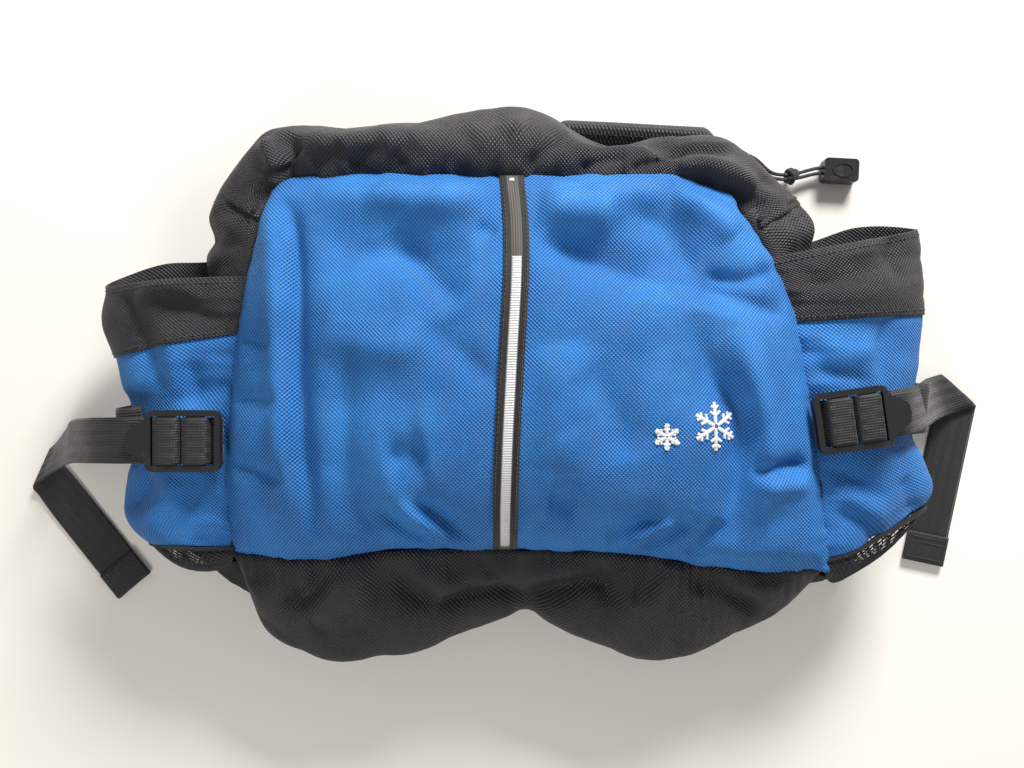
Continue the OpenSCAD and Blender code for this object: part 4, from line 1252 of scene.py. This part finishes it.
def pocket_mesh(pocket, a, b, bag, node):
    """Open mesh that closes the pocket's bottom: a real net of crossing threads."""
    v, across = np.linspace(0, 0.3, 40), np.linspace(0, 1, 60)
    rim = pocket.above_net(pocket.plain(v, across), v, across, 30)[0]
    s, r = np.linspace(0.03, 0.97, 34), np.linspace(0, 1, 12)
    p = along(rim, s) - AHEAD
    q = mix(np.array(a, float), np.array(b, float), s[:, None])
    depth = bag * np.sin(math.pi / 2 * (1 - (1 - r) ** 2)) * (1 - r**3)
    sag = np.outer(depth, np.sin(math.pi * (0.12 + 0.76 * s)))
    grid = mix(p[None], q[None], r[:, None, None]) - sag[..., None] * AHEAD
    rows, cols = grid.shape[:2]
    parts = []
    for start in range(-rows, cols + rows):
        for lean in (-1, 1):
            cells = [(i, start + lean * i) for i in range(rows) if 0 <= start + lean * i < cols]
            if len(cells) > 1:
                parts.append(tube_parts(np.array([grid[i, j] for i, j in cells]), 0.4, 4))
    no_uv(dress(joined(f"pocket_net_{pocket.side}", parts), MESH, "pack", [node]))
    no_uv(dress(tube(f"pocket_net_edge_{pocket.side}", grid[0], 1.3), BLACK))


pocket_mesh(LEFT_POCKET, [-156, -98, 66], [-160, -103, 33], 12, "pocket_mesh_left")
pocket_mesh(RIGHT_POCKET, [176, -106, 66], [164, -108, 33], 15, "pocket_mesh_right")

# ---------------------------------------------------------------- straps

# paths in a buckle's own frame, as [outwards, up]
ANCHOR = [[-0.4, -3.3], [3, -3.2], [6, -1.7], [6.9, 0.8], [8.8, 2.4], [13.6, 2.6], [18.2, 2.4],
          [20, 0.9], [20, -1.2], [18, -2.9], [13, -3.1]]
WRAP = [[32, -5.7], [27, -5.6], [24, -5], [22.6, -3], [22.6, -0.5], [22.9, 1.5], [25, 2.7],
        [29, 2.9], [33, 2.6], [35.2, 1.4], [35.6, 0], [35.7, -1.8], [37, -3.5], [40, -4], [42, -4]]
# the left free end as [place, direction across it], and the right one's places up to its fold
TAIL_LEFT = [[[-199, -30.5, 75.2], [0, 1, 0]], [[-214, -30.5, 75], [0, 1, 0]],
             [[-232, -31, 66], [0, 1, 0]], [[-252, -33, 44], [0.05, 1, 0]], [[-267, -38, 20], [0.18, 0.97, 0]],
             [[-280, -46, 8.5], [0.36, 0.93, 0]], [[-287.5, -52, 5], [0.42, 0.91, 0]],
             [[-284, -58, 2], [0.52, 0.85, 0]], [[-271, -75, 1.3], [0.72, 0.69, 0]],
             [[-252, -99, 1.2], [0.76, 0.65, 0]], [[-232, -124, 1.2], [0.76, 0.65, 0]]]
TAIL_RIGHT = [[205, -16, 75.6], [216, -14.4, 71], [228, -12.4, 58], [239, -10.6, 40], [249, -9, 23],
              [258, -7.6, 11], [266, -5.9, 5.4], [272, -4.2, 4.4]]
HEM_Z = 1.2 + STRAP_T + 0.1
HEM_LENGTH = 18


def at_left(u, y, z):
    return point(-156 - np.asarray(u, float), -30.5 + np.asarray(y, float), 79 + np.asarray(z, float))


def at_right(u, y, z):
    c, s = math.cos(math.radians(8)), math.sin(math.radians(8))
    u, y = np.asarray(u, float), np.asarray(y, float)
    return point(162.5 + u * c - y * s, -22 + u * s + y * c, 80 + np.asarray(z, float))


def lock_web(name, place, path, count, body, node, thick=STRAP_T):
    """Webbing along a path of a buckle's own frame."""
    uz = along([[p[0], 0, p[1]] for p in path], np.linspace(0, 1, count))
    middle = place(uz[:, 0], np.zeros(count), uz[:, 2])
    across = place(0, 1, 0) - place(0, 0, 0)
    dress(web(name, middle, across, STRAP_W, thick), WEBBING, body, [node])


def strap_run(pocket, s0):
    """The strap from its buckle round the pocket to the back, a little loose on the outer side."""
    s = np.linspace(s0, 0.97, 70)
    v = np.linspace(*pocket.strap, 9)
    plain = pocket.plain(v, s)
    n = normals(plain, pocket.middle())
    loose = 0.35 + 8 * bell(s, 0.55, 0.09)[None, :, None]
    low = plain + n * loose
    top = plain + n * (loose + STRAP_T)
    top[[0, -1]] -= n[[0, -1]] * 0.5
    web_u = np.linspace(-STRAP_W / 2, STRAP_W / 2, 9)
    uv = flat_uv(distances(plain[4]), web_u)[..., ::-1]
    dress(between(f"strap_web_{pocket.side}", top, low, uv), WEBBING, "pack",
          [f"strap_run_{pocket.side}"])


def strap_hem(side, start, end):
    """The last of a strap's free end, turned over and sewn down."""
    a, b = np.array([*start, HEM_Z]), np.array([*end, HEM_Z])
    ahead = unit(b - a)
    turn = np.array([-ahead[1], ahead[0], 0])
    middle = mix(a, b, np.linspace(0, 1, 12)[:, None])
    dress(web(f"strap_fold_{side}", middle, turn, STRAP_W, STRAP_T), WEBBING, "pack",
          [f"strap_hem_{side}"])
    for k, share in enumerate((0.15, 0.32, 0.85)):
        spot = mix(a, b, share) + (STRAP_T / 2 + 0.1) * UP
        row = np.array([spot - turn * 10.5, spot + turn * 10.5])
        sew(f"bartack_{side}_{k}", row, UP, 1.7, 0.3, share=0.85)


def folded_tail(side, stops, heading, fold, length, gap=1.6, step=0.9):
    """A free end that folds flat under itself along a slanting crease. Angles are in degrees."""
    ahead, over = (np.array([math.cos(math.radians(a)), math.sin(math.radians(a)), 0])
                   for a in (heading, fold + 90))
    aside = np.array([-ahead[1], ahead[0], 0])
    before = resampled(along(stops, np.linspace(0, 1, 90)), step)
    w = np.linspace(-STRAP_W / 2, STRAP_W / 2, 9)
    turned = ease(np.linspace(0, 1, len(before)) * 1.3 - 0.2)[:, None]
    across = unit(mix(np.array([-0.14, 0.99, 0]), aside, turned))
    first = before[:, None] + across[:, None] * w[None, :, None]
    s = np.arange(step, length, step)
    last = before[-1] + s[:, None, None] * ahead + w[None, :, None] * aside
    grid = np.concatenate([first, last])
    from_crease = (grid - before[-1]) @ over
    on_table = (np.arange(len(grid)) > len(before) - 14)[:, None]
    past = np.where(on_table, np.maximum(from_crease, 0), 0)
    angle = np.minimum(past / gap, math.pi)
    beyond = gap * np.sin(angle) - np.maximum(past - math.pi * gap, 0)
    drop = gap * (1 - np.cos(angle))
    grid = grid + (beyond - past)[..., None] * over - drop[..., None] * UP
    n = unit(np.cross(np.gradient(grid, axis=1), np.gradient(grid, axis=0)))
    thick = (STRAP_T / 2 * np.array([0.35, 0.9, 1, 1, 1, 1, 1, 0.9, 0.35]))[None, :, None]
    uv = flat_uv(w, np.arange(len(grid)) * step)
    obj = between(f"strap_end_{side}", grid + n * thick, grid - n * thick, uv)
    dress(obj, WEBBING, "pack", [f"strap_tail_{side}"])
    return grid[-1, 4, :2], unit(grid[-1, 4] - grid[-9, 4])[:2]


def straps():
    """The webbing at both buckles, the runs round the pockets, and the two free ends."""
    for side, place in (("left", at_left), ("right", at_right)):
        body = f"buckle_{side}"
        lock_web(f"anchor_web_{side}", place, ANCHOR, 44, body, f"buckle_anchor_{side}", 1.4)
        lock_web(f"wrap_web_{side}", place, WRAP, 60, body, f"strap_wrap_{side}")
    strap_run(LEFT_POCKET, 0.37)
    strap_run(RIGHT_POCKET, 0.42)
    middle, across = (along([stop[k] for stop in TAIL_LEFT], np.linspace(0, 1, 110)) for k in (0, 1))
    dress(web("strap_end_left", middle, across, STRAP_W, STRAP_T), WEBBING, "pack",
          ["strap_tail_left"])
    strap_hem("left", (-243.3, -109.9), (-232, -124))
    end, way = folded_tail("right", TAIL_RIGHT, heading=18, fold=-42, length=112)
    strap_hem("right", end - HEM_LENGTH * way, end)


straps()

# ---------------------------------------------------------------- waist belt

BELT_Y, BELT_W, BELT_T, BAR_Z = -92, 38, 2, 6.6


def belt_loop(name, x, way, reach, body, node):
    """Webbing from a wing's end round the buckle's bar and back."""
    ring = [[3 * math.cos(a), 3 * math.sin(a)] for a in np.linspace(math.pi / 2, -math.pi / 2, 7)]
    path = [[-reach, 3.1], [-6, 3.1]] + ring + [[-6, -3.1], [-reach + 8, -3.1]]
    uz = along([[p[0], 0, p[1]] for p in path], np.linspace(0, 1, 50))
    middle = point(x + way * uz[:, 0], BELT_Y, BAR_Z + uz[:, 2])
    dress(web(name, middle, AHEAD, BELT_W, BELT_T), WEBBING, body, [node])


belt_loop("belt_web_left", -42, 1, 31.5, "wing_left", "belt_webbing_left")
belt_loop("belt_web_right", 52, -1, 24, "wing_right", "belt_webbing_right")


# ---------------------------------------------------------------- padded pieces

BLOW_FRAMES = 20


def cube_uv(obj):
    """Flat coordinates, in metres, projected along each face's main direction."""
    data = obj.data
    layer = data.uv_layers.get("Cloth") or data.uv_layers.new(name="Cloth")
    for face in data.polygons:
        main = int(np.argmax(np.abs(face.normal)))
        a, b = [k for k in range(3) if k != main]
        for corner in face.loop_indices:
            co = data.vertices[data.loops[corner].vertex_index].co
            layer.data[corner].uv = (co[a], co[b])


def blown(obj, start, cap, pressure=4.0):
    """Where a closed skin's vertices come to rest when it is blown up, each held within a cap."""
    blow = obj.modifiers.new("blow", "CLOTH")
    blow.settings.use_pressure = True
    blow.settings.uniform_pressure_force = pressure
    blow.settings.effector_weights.gravity = 0
    blow.settings.tension_stiffness = blow.settings.compression_stiffness = 20
    blow.point_cache.frame_end = BLOW_FRAMES
    for number in range(1, BLOW_FRAMES + 1):
        scene.frame_set(number)
    applied(obj)
    scene.frame_set(1)
    move = np.array([v.co for v in obj.data.vertices]) - start
    far = np.linalg.norm(move, axis=1, keepdims=True)
    return start + move * np.minimum(1, cap * MM / np.maximum(far, 1e-9))


def pillow(name, node, body, finish, cap, voxel, shrink, quilt=None):
    """A padded piece: the CAD solid, a little smaller, blown up as cloth and kept in the solid's box."""
    source = NODES[node]
    obj = bpy.data.objects.new(name, source.data.copy())
    obj.data.materials.clear()
    scene.collection.objects.link(obj)
    shape = obj.modifiers.new("remesh", "REMESH")
    shape.mode, shape.voxel_size = "VOXEL", voxel * MM
    applied(obj)
    for vertex in obj.data.vertices:
        vertex.co -= vertex.normal * shrink * MM
    start = np.array([v.co for v in obj.data.vertices])
    end = blown(obj, start, cap)
    low, high = (np.array(c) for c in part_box(node))
    end = np.clip(end, low, high)
    if quilt:
        end = quilt(end, low, high)
    obj.data.vertices.foreach_set("co", end.astype(np.float32).ravel())
    smooth = obj.modifiers.new("smooth", "SMOOTH")
    smooth.factor, smooth.iterations = 0.5, 3
    more = obj.modifiers.new("finer", "SUBSURF")
    more.levels = more.render_levels = 1
    applied(obj)
    obj.data.polygons.foreach_set("use_smooth", np.ones(len(obj.data.polygons), bool))
    cube_uv(obj)
    dress(obj, finish, body, [node])


def applied(obj):
    """Applies every modifier of an object."""
    bpy.context.view_layer.update()
    graph = bpy.context.evaluated_depsgraph_get()
    data = bpy.data.meshes.new_from_object(obj.evaluated_get(graph))
    obj.modifiers.clear()
    obj.data = data


def channels(end, low, high):
    """Sewn channels across the lumbar pad, pressed into the face that lies against the back."""
    x = end[:, 0] / MM - HOME[0]
    groove = sum(bell(x, middle, 3.0) for middle in (-96, -48, 0, 48, 96))
    face = end[:, 2] < (low[2] + high[2]) / 2
    end[:, 2] += np.where(face, groove * 2.2 * MM, 0)
    return end


pillow("lumbar_cushion", "lumbar_pad", "pack", MESH, 3, 4.5, 1.2, channels)
pillow("back_board", "back_panel", "pack", BLACK, 2, 5, 1.0)
for side in ("left", "right"):
    pillow(f"wing_{side}_pad", f"belt_wing_{side}", f"wing_{side}", BLACK, 5, 4.5, 2.0)
    pillow(f"wing_{side}_root", f"wing_root_{side}", "pack", BLACK, 3, 4, 1.2)

# ---------------------------------------------------------------- moulded and metal CAD parts


def carried_over(node, finish, width, segments=3):
    """A CAD part that keeps its shape, with its edges rounded and its own material."""
    obj = NODES[node]
    bevel = obj.modifiers.new("edges", "BEVEL")
    bevel.width, bevel.segments = width * MM, segments
    bevel.limit_method, bevel.angle_limit = "ANGLE", math.radians(35)
    obj.data.materials.clear()
    obj.data.materials.append(finish)


for node in ("ladderlock_left", "ladderlock_right", "belt_socket", "belt_plug"):
    carried_over(node, PLASTIC, 1.0, 4)
carried_over("pull_grip", PLASTIC, 1.8, 5)
for node in ("slider_body", "pull_tab", "zip_stop_open", "zip_stop_closed"):
    carried_over(node, METAL, 0.25)

# ---------------------------------------------------------------- table


def table():
    size, under = 3000, -0.05
    points = [[x, y, under] for x, y in ((-size, -size), (size, -size), (size, size), (-size, size))]
    floor = mesh_object("floor", points, [[0, 1, 2, 3]], smooth=False)
    floor.data.materials.append(tabletop())


table()
